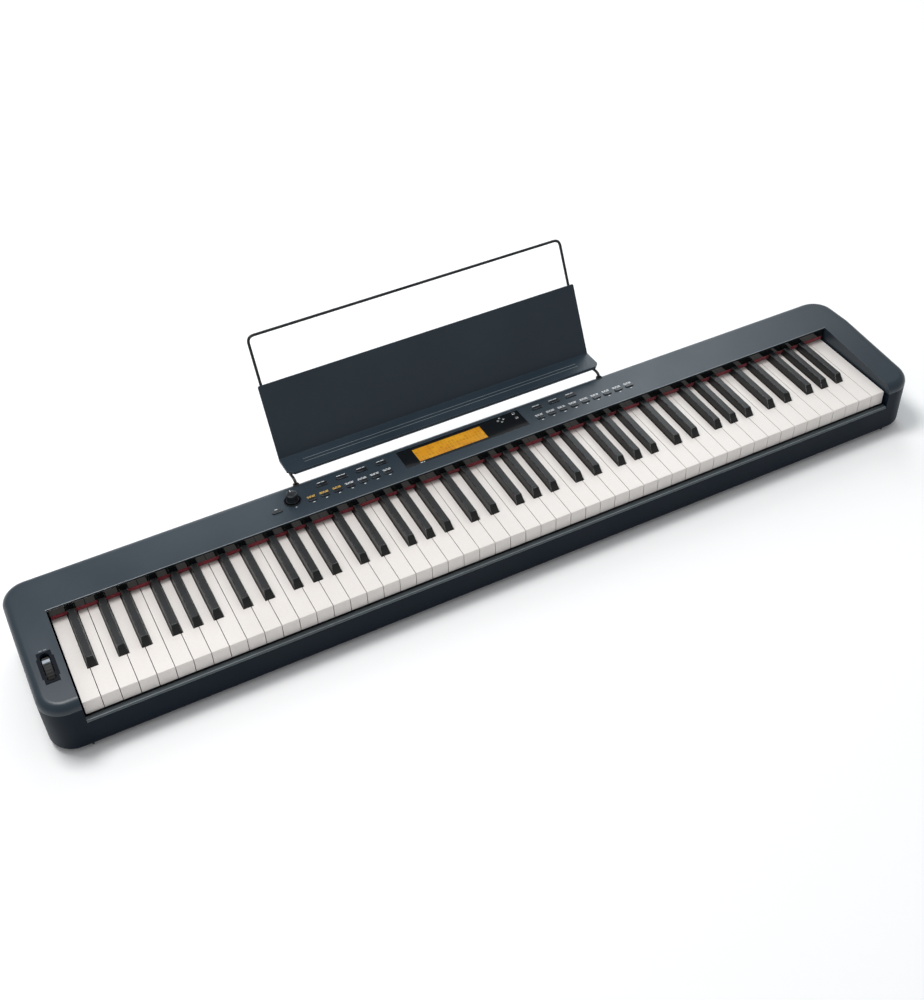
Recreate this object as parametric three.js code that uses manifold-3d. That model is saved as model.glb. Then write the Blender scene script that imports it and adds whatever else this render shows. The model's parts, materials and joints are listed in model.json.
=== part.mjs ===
// A slim digital piano with 88 hammer-action keys and a lift-out wire music rest.
// Millimetres. X runs from the bass end to the treble end, Y from the player to the back, Z up.
// Every size below is measured from the front face of the white keys (y = 0) and from the floor (z = 0).
// The last lines slide the whole model along Y, so that its origin is the middle of its footprint.
import * as THREE from 'three';
import { mergeVertices } from 'three/addons/utils/BufferGeometryUtils.js';
import Module from 'manifold-3d';

const wasm = await Module();
wasm.setup();

// ---------------------------------------------------------------- driving dimensions
const gap = 0.3; // clearance between pieces that are fitted together
const wall = 3; // thickness of the moulded casings

// casing
const armWidth = 48; // end block beside the keyboard opening
const caseDepth = 232;
const caseFront = -9; // y of the front face
const panelDepth = 74.5; // from the wall behind the keys to the back
const cornerRadius = 34; // corners seen from above
const baseZ = 5.3; // underside of the lower case
const baseChamfer = 7; // rounding along the bottom edge
const seamZ = 75; // where the upper case sits on the lower case
const armRise = 13; // top of the end blocks at the front, above the seam
const panelRise = 23.4; // top of the control panel above the keys, above the seam
const panelFall = 3.2; // how much lower the panel is at the back
const edgeRadius = 8; // rounding of the top edges at the two ends
const crestRadius = 14; // and along the front and the back
const ledgeZ = 52; // ledge in front of the keys
const ledgeDepth = 7.5;
const footRadius = 9;
const footHeight = 5;
const footInset = 40; // foot centres from the ends of the case
const footInsetFront = 31; // and from its front
const footInsetRear = 31; // and from its back

// keyboard
const whitePitch = 23.5;
const whiteCount = 52;
const keyGap = 0.9;
const keyTopRise = 1; // top of the white keys above the seam
const headHeight = 22; // front block of a white key
const leverHeight = 14; // key levers
const leverRear = 5; // a white key's lever ends this far behind its pivot
const blackLeverRear = 12; // and a black key's this far
const pivotBehind = 27.5; // the keys rock this far behind the opening, on the chassis's rear ridge
const blackFront = 50;
const blackWidth = 12.4;
const blackTopWidth = 10;
const blackHeight = 11.5; // above the white keys
const blackSlope = 9; // how far the front of a black key leans back
const blackOffset = { 1: -3.3, 3: 3.3, 6: -3.9, 8: 0, 10: 3.9 }; // from the line between its white keys
const openingSide = 2; // from the outer keys to the end blocks
const openingClear = 8.3; // from the white keys up to the wall behind them

// hammers
const hammerWidth = 8;
const hammerPivotY = 88;
const hammerPivotZ = 28;
const postFront = 58.5; // the post that the key pushes
const postRear = 64;
const weightLength = 18;
const weightAhead = 8; // the weight ends this far ahead of the key's pivot
const hammerRestZ = 14.2;

// control panel, placed by x and by the distance v behind the panel's front edge
const lowerRowV = 26.8;
const upperRowV = 49.5;
const buttonDepth = 6;
const capRise = 1.6; // button caps stand this far out of the panel
const windowX = 2;
const windowWidth = 196;
const windowDepth = 39;
const windowV = 40.3;
const lcdX = -19;
const lcdWidth = 109;
const lcdDepth = 29.4;
const knobX = -261.7;
const knobV = 38;
const knobRadius = 9;
const knobHeight = 13;
const powerX = -288.4;

// pitch wheel
const wheelOut = 20; // middle of the wheel from the keyboard opening
const wheelY = 60;
const wheelDrop = 12.5; // axle below the front of the end block's top
const wheelRadius = 24;
const wheelWidth = 10;
const wheelBore = 3;

// music rest
const restLean = THREE.MathUtils.degToRad(25.6); // of the plate, back from upright
const restBehind = 37; // the corner between plate and shelf, behind the case
const restAbove = 11.8; // and above the back of the panel
const plateWidth = 502;
const plateHeight = 111;
const plateThickness = 2.4;
const shelfDepth = 35;
const lipHeight = 4;
const wireRadius = 2.1;
const wireHalfWidth = 245;
const wireAbovePlate = 69;
const wireBend = 10;
const wireDrop = 9.6; // the wire's lower bend is this far below the plate's corner
const legInset = 7; // the two sockets from the back of the case
const legDepth = 24; // length of leg inside the case

// derived places
const caseRear = caseFront + caseDepth;
const openingRear = caseRear - panelDepth; // y of the wall behind the keys
const keysLeft = (-whiteCount * whitePitch) / 2;
const openingHalf = -keysLeft + openingSide;
const caseWidth = 2 * (openingHalf + armWidth);
const armFrontZ = seamZ + armRise;
const panelFrontZ = seamZ + panelRise;
const panelRearZ = panelFrontZ - panelFall;
const panelSlope = Math.atan2(panelFall, panelDepth);
const floorTop = baseZ + wall;
const keyTop = seamZ + keyTopRise;
const headBottom = keyTop - headHeight;
const leverBottom = keyTop - leverHeight;
const blackTop = keyTop + blackHeight;
const openingRearBottom = keyTop + openingClear;
const pivotY = openingRear + pivotBehind;
const leverEnd = pivotY + leverRear;
const blackLeverEnd = pivotY + blackLeverRear;
const hammerEnd = pivotY - weightAhead;
const weightFront = hammerEnd - weightLength;
const wheelX = -openingHalf - wheelOut;
const wheelZ = armFrontZ - wheelDrop;
const legY = caseRear - legInset;

// ---------------------------------------------------------------- helpers
const at = (geometry, x = 0, y = 0, z = 0) => geometry.translate(x, y, z);
const box = (x0, x1, y0, y1, z0, z1) =>
  at(new THREE.BoxGeometry(x1 - x0, y1 - y0, z1 - z0), (x0 + x1) / 2, (y0 + y1) / 2, (z0 + z1) / 2);
const rodX = (radius, x0, x1, y, z, sides = 16) =>
  at(new THREE.CylinderGeometry(radius, radius, x1 - x0, sides).rotateZ(Math.PI / 2), (x0 + x1) / 2, y, z);
const rodY = (radius, x, y0, y1, z, sides = 16) =>
  at(new THREE.CylinderGeometry(radius, radius, y1 - y0, sides), x, (y0 + y1) / 2, z);
const rodZ = (radius, x, y, z0, z1, sides = 16) =>
  at(new THREE.CylinderGeometry(radius, radius, z1 - z0, sides).rotateX(Math.PI / 2), x, y, (z0 + z1) / 2);

// An outline drawn in the YZ plane, extruded along X, with its end edges rounded by round.
function alongX(shape, x0, x1, round = 0) {
  const geometry = new THREE.ExtrudeGeometry(shape, {
    depth: x1 - x0 - 2 * round,
    curveSegments: 4,
    bevelEnabled: round > 0,
    bevelThickness: round,
    bevelSize: round,
    bevelOffset: -round,
    bevelSegments: 3,
  });
  const turn = new THREE.Matrix4().makeBasis(
    new THREE.Vector3(0, 1, 0), new THREE.Vector3(0, 0, 1), new THREE.Vector3(1, 0, 0));
  return at(geometry.applyMatrix4(turn), x0 + round);
}

// An outline drawn from above, extruded along Z, with its top and bottom edges rounded by round.
function alongZ(shape, z0, z1, round = 0, curveSegments = 6) {
  return at(new THREE.ExtrudeGeometry(shape, {
    depth: z1 - z0 - 2 * round,
    curveSegments,
    bevelEnabled: round > 0,
    bevelThickness: round,
    bevelSize: round,
    bevelOffset: -round,
    bevelSegments: 2,
  }), 0, 0, z0 + round);
}

const outline = (points) => new THREE.Shape(points.map(([x, y]) => new THREE.Vector2(x, y)));

function roundedRectangle(x0, x1, y0, y1, r) {
  const shape = new THREE.Shape();
  shape.absarc(x1 - r, y0 + r, r, -Math.PI / 2, 0);
  shape.absarc(x1 - r, y1 - r, r, 0, Math.PI / 2);
  shape.absarc(x0 + r, y1 - r, r, Math.PI / 2, Math.PI);
  shape.absarc(x0 + r, y0 + r, r, Math.PI, 1.5 * Math.PI);
  return shape;
}

function solid(geometry) {
  const bare = geometry.index ? geometry.toNonIndexed() : geometry.clone();
  bare.deleteAttribute('normal');
  bare.deleteAttribute('uv');
  const merged = mergeVertices(bare, 1e-4);
  return new wasm.Manifold(new wasm.Mesh({
    numProp: 3,
    vertProperties: merged.attributes.position.array,
    triVerts: new Uint32Array(merged.index.array),
  }));
}
const join = (...geometries) => geometries.map(solid).reduce((a, b) => a.add(b));
const cut = (body, ...geometries) => geometries.map(solid).reduce((a, b) => a.subtract(b), body);

function geometryOf(manifold) {
  const { numProp, vertProperties, triVerts } = manifold.getMesh();
  const positions = new Float32Array((vertProperties.length / numProp) * 3);
  for (let i = 0; i < positions.length / 3; i++) {
    positions.set(vertProperties.subarray(i * numProp, i * numProp + 3), i * 3);
  }
  const geometry = new THREE.BufferGeometry();
  geometry.setAttribute('position', new THREE.BufferAttribute(positions, 3));
  geometry.setIndex(new THREE.BufferAttribute(new Uint32Array(triVerts), 1));
  geometry.computeVertexNormals();
  return geometry;
}

const material = (color, roughness, metalness = 0) =>
  new THREE.MeshStandardMaterial({ color, roughness, metalness, flatShading: true });
const finish = {
  topCase: material(0x3c4650, 0.5),
  lowerCase: material(0x151b26, 0.5),
  ivory: material(0xe9e5df, 0.45),
  ebony: material(0x26292b, 0.6),
  buttons: material(0x2a3138, 0.5),
  gloss: material(0x050608, 0.1),
  lcd: material(0xd08a1c, 0.3),
  felt: material(0x8e1420, 0.95),
  wire: material(0x0c0d0f, 0.35, 0.6),
  chassis: material(0x55585c, 0.7),
  steel: material(0x8b8e92, 0.4, 0.9),
  board: material(0x1d5a38, 0.6),
  rubber: material(0x17181a, 0.9),
  speaker: material(0x1b1b1d, 0.6),
};

const piano = new THREE.Group();
function add(name, shape, finishName, parent = piano) {
  const geometry = shape.isBufferGeometry ? shape : geometryOf(shape);
  const mesh = new THREE.Mesh(geometry, finish[finishName]);
  mesh.name = name;
  parent.add(mesh);
  return mesh;
}

// The control panel's own frame: origin on its front edge, x along it, y up its slope, z out of it.
const panel = new THREE.Group();
panel.position.set(0, openingRear, panelFrontZ);
panel.rotation.x = -panelSlope;
piano.add(panel);
panel.updateMatrix();
const onPanel = (geometry) => geometry.applyMatrix4(panel.matrix);

// ---------------------------------------------------------------- which keys there are
const NOTE_NAMES = ['c', 'cs', 'd', 'ds', 'e', 'f', 'fs', 'g', 'gs', 'a', 'as', 'b'];
const FIRST_PITCH = 9; // the lowest key is an A
const KEY_COUNT = 88;
const MIDDLE_OCTAVE = 4;

const keys = [];
let whitesSoFar = 0;
for (let n = 0; n < KEY_COUNT; n++) {
  const pitch = (n + FIRST_PITCH) % 12;
  const isBlack = pitch in blackOffset;
  keys.push({
    name: NOTE_NAMES[pitch],
    octave: Math.floor((n + FIRST_PITCH) / 12),
    isBlack,
    edge: keysLeft + whitesSoFar * whitePitch,
    centre: keysLeft + whitesSoFar * whitePitch + (isBlack ? blackOffset[pitch] : 0),
  });
  if (!isBlack) whitesSoFar++;
}
// A white key's lever is as wide as its black neighbours leave it.
keys.forEach((key, n) => {
  if (key.isBlack) return;
  const [before, after] = [keys[n - 1], keys[n + 1]];
  const clear = blackWidth / 2 + keyGap;
  key.tailLeft = before && before.isBlack ? before.centre + clear : key.edge + keyGap / 2;
  key.tailRight = after && after.isBlack ? after.centre - clear : key.edge + whitePitch - keyGap / 2;
  key.centre = (key.tailLeft + key.tailRight) / 2;
});

function whiteKey(key) {
  const notch = blackFront - keyGap;
  const head = box(key.edge + keyGap / 2, key.edge + whitePitch - keyGap / 2, 0, notch, headBottom, keyTop);
  const lever = box(key.tailLeft, key.tailRight, notch - 1, leverEnd, leverBottom, keyTop);
  return join(head, lever);
}

function blackKey(key) {
  const capEnd = openingRear - gap;
  const length = capEnd - blackFront;
  const cap = new THREE.BoxGeometry(blackWidth, length, blackTop - keyTop);
  const corners = cap.attributes.position;
  for (let i = 0; i < corners.count; i++) {
    if (corners.getZ(i) < 0) continue;
    corners.setX(i, (corners.getX(i) * blackTopWidth) / blackWidth);
    if (corners.getY(i) < 0) corners.setY(i, corners.getY(i) + blackSlope);
  }
  at(cap, key.centre, blackFront + length / 2, (blackTop + keyTop) / 2);
  const lever = box(key.centre - blackWidth / 2, key.centre + blackWidth / 2,
    blackFront, blackLeverEnd, leverBottom + 1.2, keyTop);
  return join(cap, lever);
}

// A hammer: a post under the key, a hub on the chassis's hammer ridge, and a weighted tail.
function hammer(key) {
  const side = outline([
    [postFront, leverBottom - 2 * gap], [postRear, leverBottom - 2 * gap],
    [postRear + 1, hammerPivotZ + 9], [hammerPivotY, hammerPivotZ + 8],
    [hammerEnd, hammerPivotZ + 4], [hammerEnd, hammerRestZ],
    [weightFront, hammerRestZ], [weightFront - 4, hammerPivotZ - 6],
    [hammerPivotY + 2, hammerPivotZ], [hammerPivotY, hammerPivotZ], [postFront, hammerPivotZ + 3],
  ]);
  return solid(alongX(side, key.centre - hammerWidth / 2, key.centre + hammerWidth / 2));
}

// One octave is made of separate keys. The keys either side of it are moulded in blocks, on a link strip.
const middle = keys.filter((key) => key.octave === MIDDLE_OCTAVE);
const blocks = {
  bass: keys.filter((key) => key.octave < MIDDLE_OCTAVE),
  treble: keys.filter((key) => key.octave > MIDDLE_OCTAVE),
};
for (const key of middle) {
  const [make, look] = key.isBlack ? [blackKey, 'ebony'] : [whiteKey, 'ivory'];
  add(`key_${key.name}${key.octave}`, make(key), look);
  add(`hammer_${key.name}${key.octave}`, hammer(key), 'steel');
}
for (const [side, members] of Object.entries(blocks)) {
  const linked = (chosen, make, y0, y1, z0, z1) => {
    const link = box(chosen[0].centre, chosen.at(-1).centre, y0, y1, z0, z1);
    return chosen.map(make).reduce((a, b) => a.add(b), solid(link));
  };
  const whites = members.filter((key) => !key.isBlack);
  const blacks = members.filter((key) => key.isBlack);
  add(`white_keys_${side}`, linked(whites, whiteKey,
    pivotY + 2.5, leverEnd, leverBottom - 3.5, leverBottom + 0.5), 'ivory');
  add(`black_keys_${side}`, linked(blacks, blackKey,
    blackLeverEnd - 4.5, blackLeverEnd, leverBottom + 1.2, keyTop), 'ebony');
  add(`hammers_${side}`, linked(members, hammer,
    weightFront + 6, weightFront + 12, hammerPivotZ - 8, hammerPivotZ - 2), 'steel');
}

// ---------------------------------------------------------------- key chassis and what lies on it
const chassisHalf = -keysLeft - 1;
const chassisFloor = floorTop + gap + 2.4;
const boardShelfZ = floorTop + 8.4;
const chassisEnd = blackLeverEnd + 2;
const stopTop = headBottom - 14; // rail under the white keys' heads
add('key_chassis', solid(alongX(outline([
  [4, floorTop + gap], [chassisEnd, floorTop + gap], [chassisEnd, chassisFloor],
  [pivotY + 1.8, chassisFloor], [pivotY + 1.8, leverBottom - 2],
  [pivotY, leverBottom - gap], [pivotY - 4, leverBottom - 4], [pivotY - 4, chassisFloor],
  [hammerPivotY + 3, chassisFloor], [hammerPivotY + 1, hammerPivotZ - gap],
  [hammerPivotY - 1, hammerPivotZ - gap], [hammerPivotY - 3, chassisFloor],
  [76, chassisFloor], [76, boardShelfZ], [46, boardShelfZ], [46, chassisFloor],
  [22, chassisFloor], [22, stopTop], [14, stopTop], [14, chassisFloor], [4, chassisFloor],
]), -chassisHalf, chassisHalf)), 'chassis');
add('key_stop_felt', box(-chassisHalf, chassisHalf, 14.5, 21.5, stopTop + gap, stopTop + 2.5), 'felt');
add('contact_board', join(
  box(-chassisHalf + 2, chassisHalf - 2, 47, 75, boardShelfZ + gap, boardShelfZ + 1.9),
  box(-chassisHalf + 4, chassisHalf - 4, 52, 66, boardShelfZ + 1, boardShelfZ + 6.9),
), 'board');
add('hammer_rest_felt', box(-chassisHalf, chassisHalf, weightFront, hammerEnd,
  chassisFloor + gap, hammerRestZ - gap), 'felt');
add('name_felt', box(-openingHalf + 3, openingHalf - 3, openingRear + gap, openingRear + 3.1,
  keyTop + 1.4, openingRearBottom), 'felt');

// ---------------------------------------------------------------- casings
// The casing seen from the end, pulled in by inset all round for the hollow.
function endProfile(inset, bottom) {
  const y0 = caseFront + inset;
  const y1 = caseRear - inset;
  const round = crestRadius - inset;
  const shape = new THREE.Shape();
  shape.moveTo(y0, bottom);
  shape.lineTo(y1, bottom);
  shape.lineTo(y1, panelRearZ - inset - round);
  shape.quadraticCurveTo(y1, panelRearZ - inset, y1 - round, panelRearZ - inset);
  shape.lineTo(openingRear, panelFrontZ - inset);
  shape.lineTo(y0 + round, armFrontZ - inset);
  shape.quadraticCurveTo(y0, armFrontZ - inset, y0, armFrontZ - inset - round);
  return shape;
}
const planOutline = (inset) => roundedRectangle(-caseWidth / 2 + inset, caseWidth / 2 - inset,
  caseFront + inset, caseRear - inset, cornerRadius - inset);
const BELOW = -20;
const ABOVE = 140;

function casing(inset, bottom) {
  const ends = caseWidth / 2 - inset;
  const loft = solid(alongX(endProfile(inset, bottom - 20), -ends, ends, edgeRadius - inset));
  return loft.intersect(solid(alongZ(planOutline(inset), bottom, ABOVE)));
}

// The panel's button rows.
const rows = {
  left_lower_buttons: { xs: [...Array(7)].map((_, i) => -236.4 + 19.1 * i), v: lowerRowV, width: 13 },
  left_upper_buttons: { xs: [...Array(4)].map((_, i) => -213.4 + 30.2 * i), v: upperRowV, width: 18 },
  right_upper_buttons: { xs: [...Array(3)].map((_, i) => 128.4 + 28.5 * i), v: upperRowV, width: 18 },
  right_lower_buttons: { xs: [...Array(9)].map((_, i) => 122.3 + 18.8 * i), v: lowerRowV, width: 13 },
};
// Small entry buttons in the window: x, v and radius. Four pads make a diamond, with two beside it.
const padX = 68;
const padV = windowV + 10;
const padStep = 4.4;
const entryButtons = [
  [padX - padStep, padV, 1.8], [padX + padStep, padV, 1.8],
  [padX, padV - padStep, 1.8], [padX, padV + padStep, 1.8],
  [padX + 23, padV + 4, 2.6], [padX + 23, padV - 7, 2.6],
];
const pill = (x, v, width, depth) => {
  const r = depth / 2 - 0.01;
  return roundedRectangle(x - width / 2, x + width / 2, v - depth / 2, v + depth / 2, r);
};
const slot = (x, v, width, grow, w0, w1) =>
  alongZ(pill(x, v, width + 2 * grow, buttonDepth + 2 * grow), w0, w1, 0, 1);

// The slot is as long as the wheel is where it meets the underside of the end block's top.
const wheelSlotLength = 2 * Math.sqrt(wheelRadius ** 2 - (wheelDrop - wall) ** 2);
const upperHollow = casing(wall, seamZ - 10)
  .subtract(solid(box(-openingHalf - wall, openingHalf + wall, -60, openingRear + wall, BELOW, ABOVE)));
let upper = casing(0, seamZ + gap).subtract(upperHollow);
upper = cut(upper,
  box(-openingHalf, openingHalf, -60, openingRear, BELOW, ABOVE),
  box(-openingHalf, openingHalf, openingRear - 1, openingRear + wall + 1, BELOW, openingRearBottom + gap),
  onPanel(box(windowX - windowWidth / 2 - gap, windowX + windowWidth / 2 + gap,
    windowV - windowDepth / 2 - gap, windowV + windowDepth / 2 + gap, -12, 12)),
  onPanel(rodZ(knobRadius + 1.2, knobX, knobV, -12, 12)),
  onPanel(slot(powerX, lowerRowV, 15, 0.4, -12, 12)),
  ...Object.values(rows).flatMap((row) =>
    row.xs.map((x) => onPanel(slot(x, row.v, row.width, 0.4, -12, 12)))),
  box(wheelX - wheelWidth / 2 - 1, wheelX + wheelWidth / 2 + 1,
    wheelY - wheelSlotLength / 2, wheelY + wheelSlotLength / 2, seamZ + 2, ABOVE),
  ...[-1, 1].map((s) => rodZ(wireRadius + 0.4, s * wireHalfWidth, legY, seamZ - 5, ABOVE, 12)),
);
add('upper_case', upper, 'topCase');

const speakerX = 400;
const speakerZ = 40;
const jackXs = { pedal: 168, phones: 190, audio: 208, usb: 232, power: 256 };
const ROUND_SOCKETS = ['pedal', 'phones', 'audio', 'power'];
const jackZ = 38;
const batteryX = 0;
const batteryY = caseRear - 18;
const batteryWidth = 116;
const batteryDepth = 26;
const lowerBlank = solid(alongZ(planOutline(0), baseZ, ABOVE, baseChamfer))
  .intersect(solid(box(-caseWidth, caseWidth, -100, 400, BELOW, seamZ)));
let lower = lowerBlank.subtract(solid(alongZ(planOutline(wall), floorTop, ABOVE)));
// inner walls beside the keys, and the ledge in front of them
lower = lower.add(join(
  box(-openingHalf - wall, -openingHalf, caseFront + 1, openingRear, baseZ + 1, seamZ),
  box(openingHalf, openingHalf + wall, caseFront + 1, openingRear, baseZ + 1, seamZ)));
lower = cut(lower, box(-openingHalf, openingHalf, -60, 5, ledgeZ, ABOVE));
lower = lower.add(solid(box(-openingHalf - 1, openingHalf + 1,
  caseFront + 1, caseFront + ledgeDepth, ledgeZ - wall, ledgeZ)));
const grilleSlots = [...Array(7)].map((_, i) => speakerZ - 22.5 + 7 * i);
lower = cut(lower,
  box(batteryX - batteryWidth / 2, batteryX + batteryWidth / 2,
    batteryY - batteryDepth / 2, batteryY + batteryDepth / 2, BELOW, floorTop + 1),
  ...[-speakerX, speakerX].flatMap((x) => grilleSlots.map((z) =>
    box(x - 55, x + 55, caseRear - 10, caseRear + 10, z, z + 3))),
  box(jackXs.usb - 7.2, jackXs.usb + 7.2, caseRear - 10, caseRear + 10, jackZ - 6.7, jackZ + 6.7),
  ...ROUND_SOCKETS.map((name) => rodY(6.3, jackXs[name], caseRear - 10, caseRear + 10, jackZ)));
add('lower_case', lower, 'lowerCase');

add('battery_cover', box(batteryX - batteryWidth / 2 + gap, batteryX + batteryWidth / 2 - gap,
  batteryY - batteryDepth / 2 + gap, batteryY + batteryDepth / 2 - gap, baseZ, floorTop - 0.4), 'lowerCase');
const footX = caseWidth / 2 - footInset;
for (const [row, y] of [['front', caseFront + footInsetFront], ['rear', caseRear - footInsetRear]]) {
  add(`foot_${row}_left`, rodZ(footRadius, -footX, y, 0, footHeight), 'rubber');
  add(`foot_${row}_right`, rodZ(footRadius, footX, y, 0, footHeight), 'rubber');
}

// ---------------------------------------------------------------- control panel
const railW = -9; // underside of the rails that carry the buttons, below the panel's face
const railTop = -6;
for (const [name, row] of Object.entries(rows)) {
  const first = row.xs[0] - row.width / 2;
  const last = row.xs.at(-1) + row.width / 2;
  const rail = box(first, last, row.v - 2.5, row.v + 2.5, railW, railTop);
  const caps = row.xs.map((x) => slot(x, row.v, row.width, 0, railTop - 1, capRise));
  add(name, join(rail, ...caps), 'buttons', panel);
}
add('power_button', slot(powerX, lowerRowV, 15, 0, railW, capRise), 'buttons', panel);
add('volume_knob', join(
  rodZ(knobRadius, knobX, knobV, -4, knobHeight, 24),
  rodZ(knobRadius - 4, knobX, knobV, -8, -3, 12),
), 'buttons', panel);
const entryHole = ([x, v, r], grow, w0, w1) => rodZ(r + grow, x, v, w0, w1, 12);
add('display_window', cut(
  solid(box(windowX - windowWidth / 2, windowX + windowWidth / 2,
    windowV - windowDepth / 2, windowV + windowDepth / 2, -3, 0)),
  box(lcdX - lcdWidth / 2, lcdX + lcdWidth / 2, windowV - lcdDepth / 2, windowV + lcdDepth / 2, -6, 6),
  ...entryButtons.map((b) => entryHole(b, 0.3, -6, 6)),
), 'gloss', panel);
add('lcd_module', join(
  box(lcdX - lcdWidth / 2 - 4, lcdX + lcdWidth / 2 + 4,
    windowV - lcdDepth / 2 - 4, windowV + lcdDepth / 2 + 3, -7.5, -3.3),
  box(lcdX - lcdWidth / 2 + gap, lcdX + lcdWidth / 2 - gap,
    windowV - lcdDepth / 2 + gap, windowV + lcdDepth / 2 - gap, -4, -0.6),
), 'lcd', panel);
add('entry_buttons', join(
  box(padX - padStep, padX + 24, padV - 8, padV + padStep, railW, railTop),
  ...entryButtons.map((b) => entryHole(b, 0, railTop - 1, 1.2)),
), 'buttons', panel);
add('panel_board', box(-300, 300, 13, 58, -12.8, -11.2), 'board', panel);

// ---------------------------------------------------------------- pitch wheel
const bracketHalf = wheelWidth / 2 + 1.5;
add('pitch_wheel', cut(
  solid(rodX(wheelRadius, wheelX - wheelWidth / 2, wheelX + wheelWidth / 2, wheelY, wheelZ, 32)),
  rodX(wheelBore, wheelX - wheelWidth, wheelX + wheelWidth, wheelY, wheelZ, 12),
  box(wheelX - 3, wheelX + 3, wheelY - 4, wheelY + 4, wheelZ + wheelRadius - 1.6, wheelZ + wheelRadius + 2),
), 'buttons');
const bracketSide = (x) => box(x - 1, x + 1, wheelY - 8, wheelY + 8, floorTop + 4, wheelZ + 6);
add('wheel_bracket', join(
  box(wheelX - bracketHalf - 2, wheelX + bracketHalf + 2,
    wheelY - 8, wheelY + 8, floorTop + gap, floorTop + 5),
  bracketSide(wheelX - bracketHalf - 1),
  bracketSide(wheelX + bracketHalf + 1),
  rodX(wheelBore - gap, wheelX - bracketHalf - 1, wheelX + bracketHalf + 1, wheelY, wheelZ, 12),
), 'chassis');

// ---------------------------------------------------------------- electronics at the back
for (const [name, s] of [['speaker_left', -1], ['speaker_right', 1]]) {
  const rim = roundedRectangle(-65, 65, -30, 30, 29);
  const frame = alongZ(rim, 0, 3).rotateX(Math.PI / 2);
  const basket = new THREE.CylinderGeometry(20, 29, 16, 20).scale(1.6, 1, 1);
  add(name, join(
    at(frame, s * speakerX, caseRear - wall - gap, speakerZ),
    at(basket.rotateX(Math.PI), s * speakerX, caseRear - wall - gap - 9, speakerZ - 1),
    rodY(17, s * speakerX, caseRear - 34, caseRear - 17, speakerZ - 1, 20),
  ), 'speaker');
}
add('main_board', join(
  box(-280, -80, caseRear - 31, caseRear - 6, 30, 31.6),
  box(-240, -220, caseRear - 27, caseRear - 11, 31, 35),
  box(-190, -150, caseRear - 26, caseRear - 12, 31, 34),
  rodZ(5, -120, caseRear - 19, 31, 44, 12),
), 'board');
const socketFace = caseRear - 0.8;
const socketBack = caseRear - 20;
add('jack_board', cut(join(
  box(150, 274, socketBack - 6, caseRear - 5, jackZ - 9.6, jackZ - 8),
  ...Object.values(jackXs).map((x) =>
    box(x - 6.5, x + 6.5, socketBack, caseRear - wall - gap, jackZ - 9, jackZ + 6.5)),
  ...ROUND_SOCKETS.map((name) => rodY(6, jackXs[name], caseRear - 5, socketFace, jackZ)),
  box(jackXs.usb - 6.5, jackXs.usb + 6.5, caseRear - 5, socketFace, jackZ - 6, jackZ + 6),
),
rodY(3.3, jackXs.pedal, socketBack + 4, caseRear + 5, jackZ, 12),
rodY(1.9, jackXs.phones, socketBack + 4, caseRear + 5, jackZ, 10),
rodY(1.9, jackXs.audio, socketBack + 4, caseRear + 5, jackZ, 10),
rodY(3.2, jackXs.power, socketBack + 8, caseRear + 5, jackZ, 12),
box(jackXs.usb - 4.3, jackXs.usb + 4.3, socketBack + 5, caseRear + 5, jackZ - 4, jackZ + 4),
), 'board');

// ---------------------------------------------------------------- music rest
// The rest's own frame: origin where plate meets shelf, y up the plate, z out of it towards the player.
const rest = new THREE.Group();
const restFootY = caseRear + restBehind;
const restFootZ = panelRearZ + restAbove;
rest.position.set(0, restFootY, restFootZ);
rest.rotation.x = Math.PI / 2 - restLean;
piano.add(rest);
const lift = (z) => -z * Math.sin(restLean); // the shelf is nearly level, though the plate leans back
const shelfSide = outline([
  [-plateThickness, -plateThickness], [plateHeight, -plateThickness], [plateHeight, 0], [plateThickness, 0],
  [plateThickness + lift(shelfDepth - 2), shelfDepth - 2], [lipHeight + lift(shelfDepth), shelfDepth - 2],
  [lipHeight + lift(shelfDepth), shelfDepth], [lift(shelfDepth), shelfDepth],
]);
const plateBlank = new THREE.ExtrudeGeometry(shelfSide, { depth: plateWidth, bevelEnabled: false });
const plateTurn = new THREE.Matrix4().makeBasis(
  new THREE.Vector3(0, 1, 0), new THREE.Vector3(0, 0, 1), new THREE.Vector3(1, 0, 0));
at(plateBlank.applyMatrix4(plateTurn), -plateWidth / 2);
const shelfCorner = (s) => {
  const x = (s * plateWidth) / 2;
  const cutter = outline([
    [x, shelfDepth - 14], [x + s * 20, shelfDepth - 14],
    [x + s * 20, 60], [x - s * 14, 60], [x - s * 14, shelfDepth + 1],
  ]);
  const block = new THREE.ExtrudeGeometry(cutter, { depth: 80, bevelEnabled: false });
  return at(block.rotateX(Math.PI / 2), 0, 30);
};
add('music_rest_panel', cut(solid(plateBlank), ...[-1, 1].map(shelfCorner)), 'topCase', rest);

// The wire: out of a socket, back under the shelf, up behind the plate, over the top and down again.
function roundedPath(corners, radius) {
  const path = new THREE.CurvePath();
  let from = corners[0];
  for (let i = 1; i < corners.length - 1; i++) {
    const into = corners[i - 1].clone().sub(corners[i]).normalize();
    const out = corners[i + 1].clone().sub(corners[i]).normalize();
    const start = corners[i].clone().addScaledVector(into, radius);
    const end = corners[i].clone().addScaledVector(out, radius);
    path.add(new THREE.LineCurve3(from, start));
    path.add(new THREE.QuadraticBezierCurve3(start, corners[i], end));
    from = end;
  }
  path.add(new THREE.LineCurve3(from, corners.at(-1)));
  return path;
}
const upLean = new THREE.Vector3(0, Math.sin(restLean), Math.cos(restLean));
const behind = new THREE.Vector3(0, Math.cos(restLean), -Math.sin(restLean));
const wireFoot = new THREE.Vector3(0, restFootY, restFootZ)
  .addScaledVector(behind, plateThickness + wireRadius + 2 * gap)
  .addScaledVector(upLean, -wireDrop);
const wireTop = wireFoot.clone().addScaledVector(upLean, plateHeight + wireAbovePlate + wireDrop);
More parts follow.
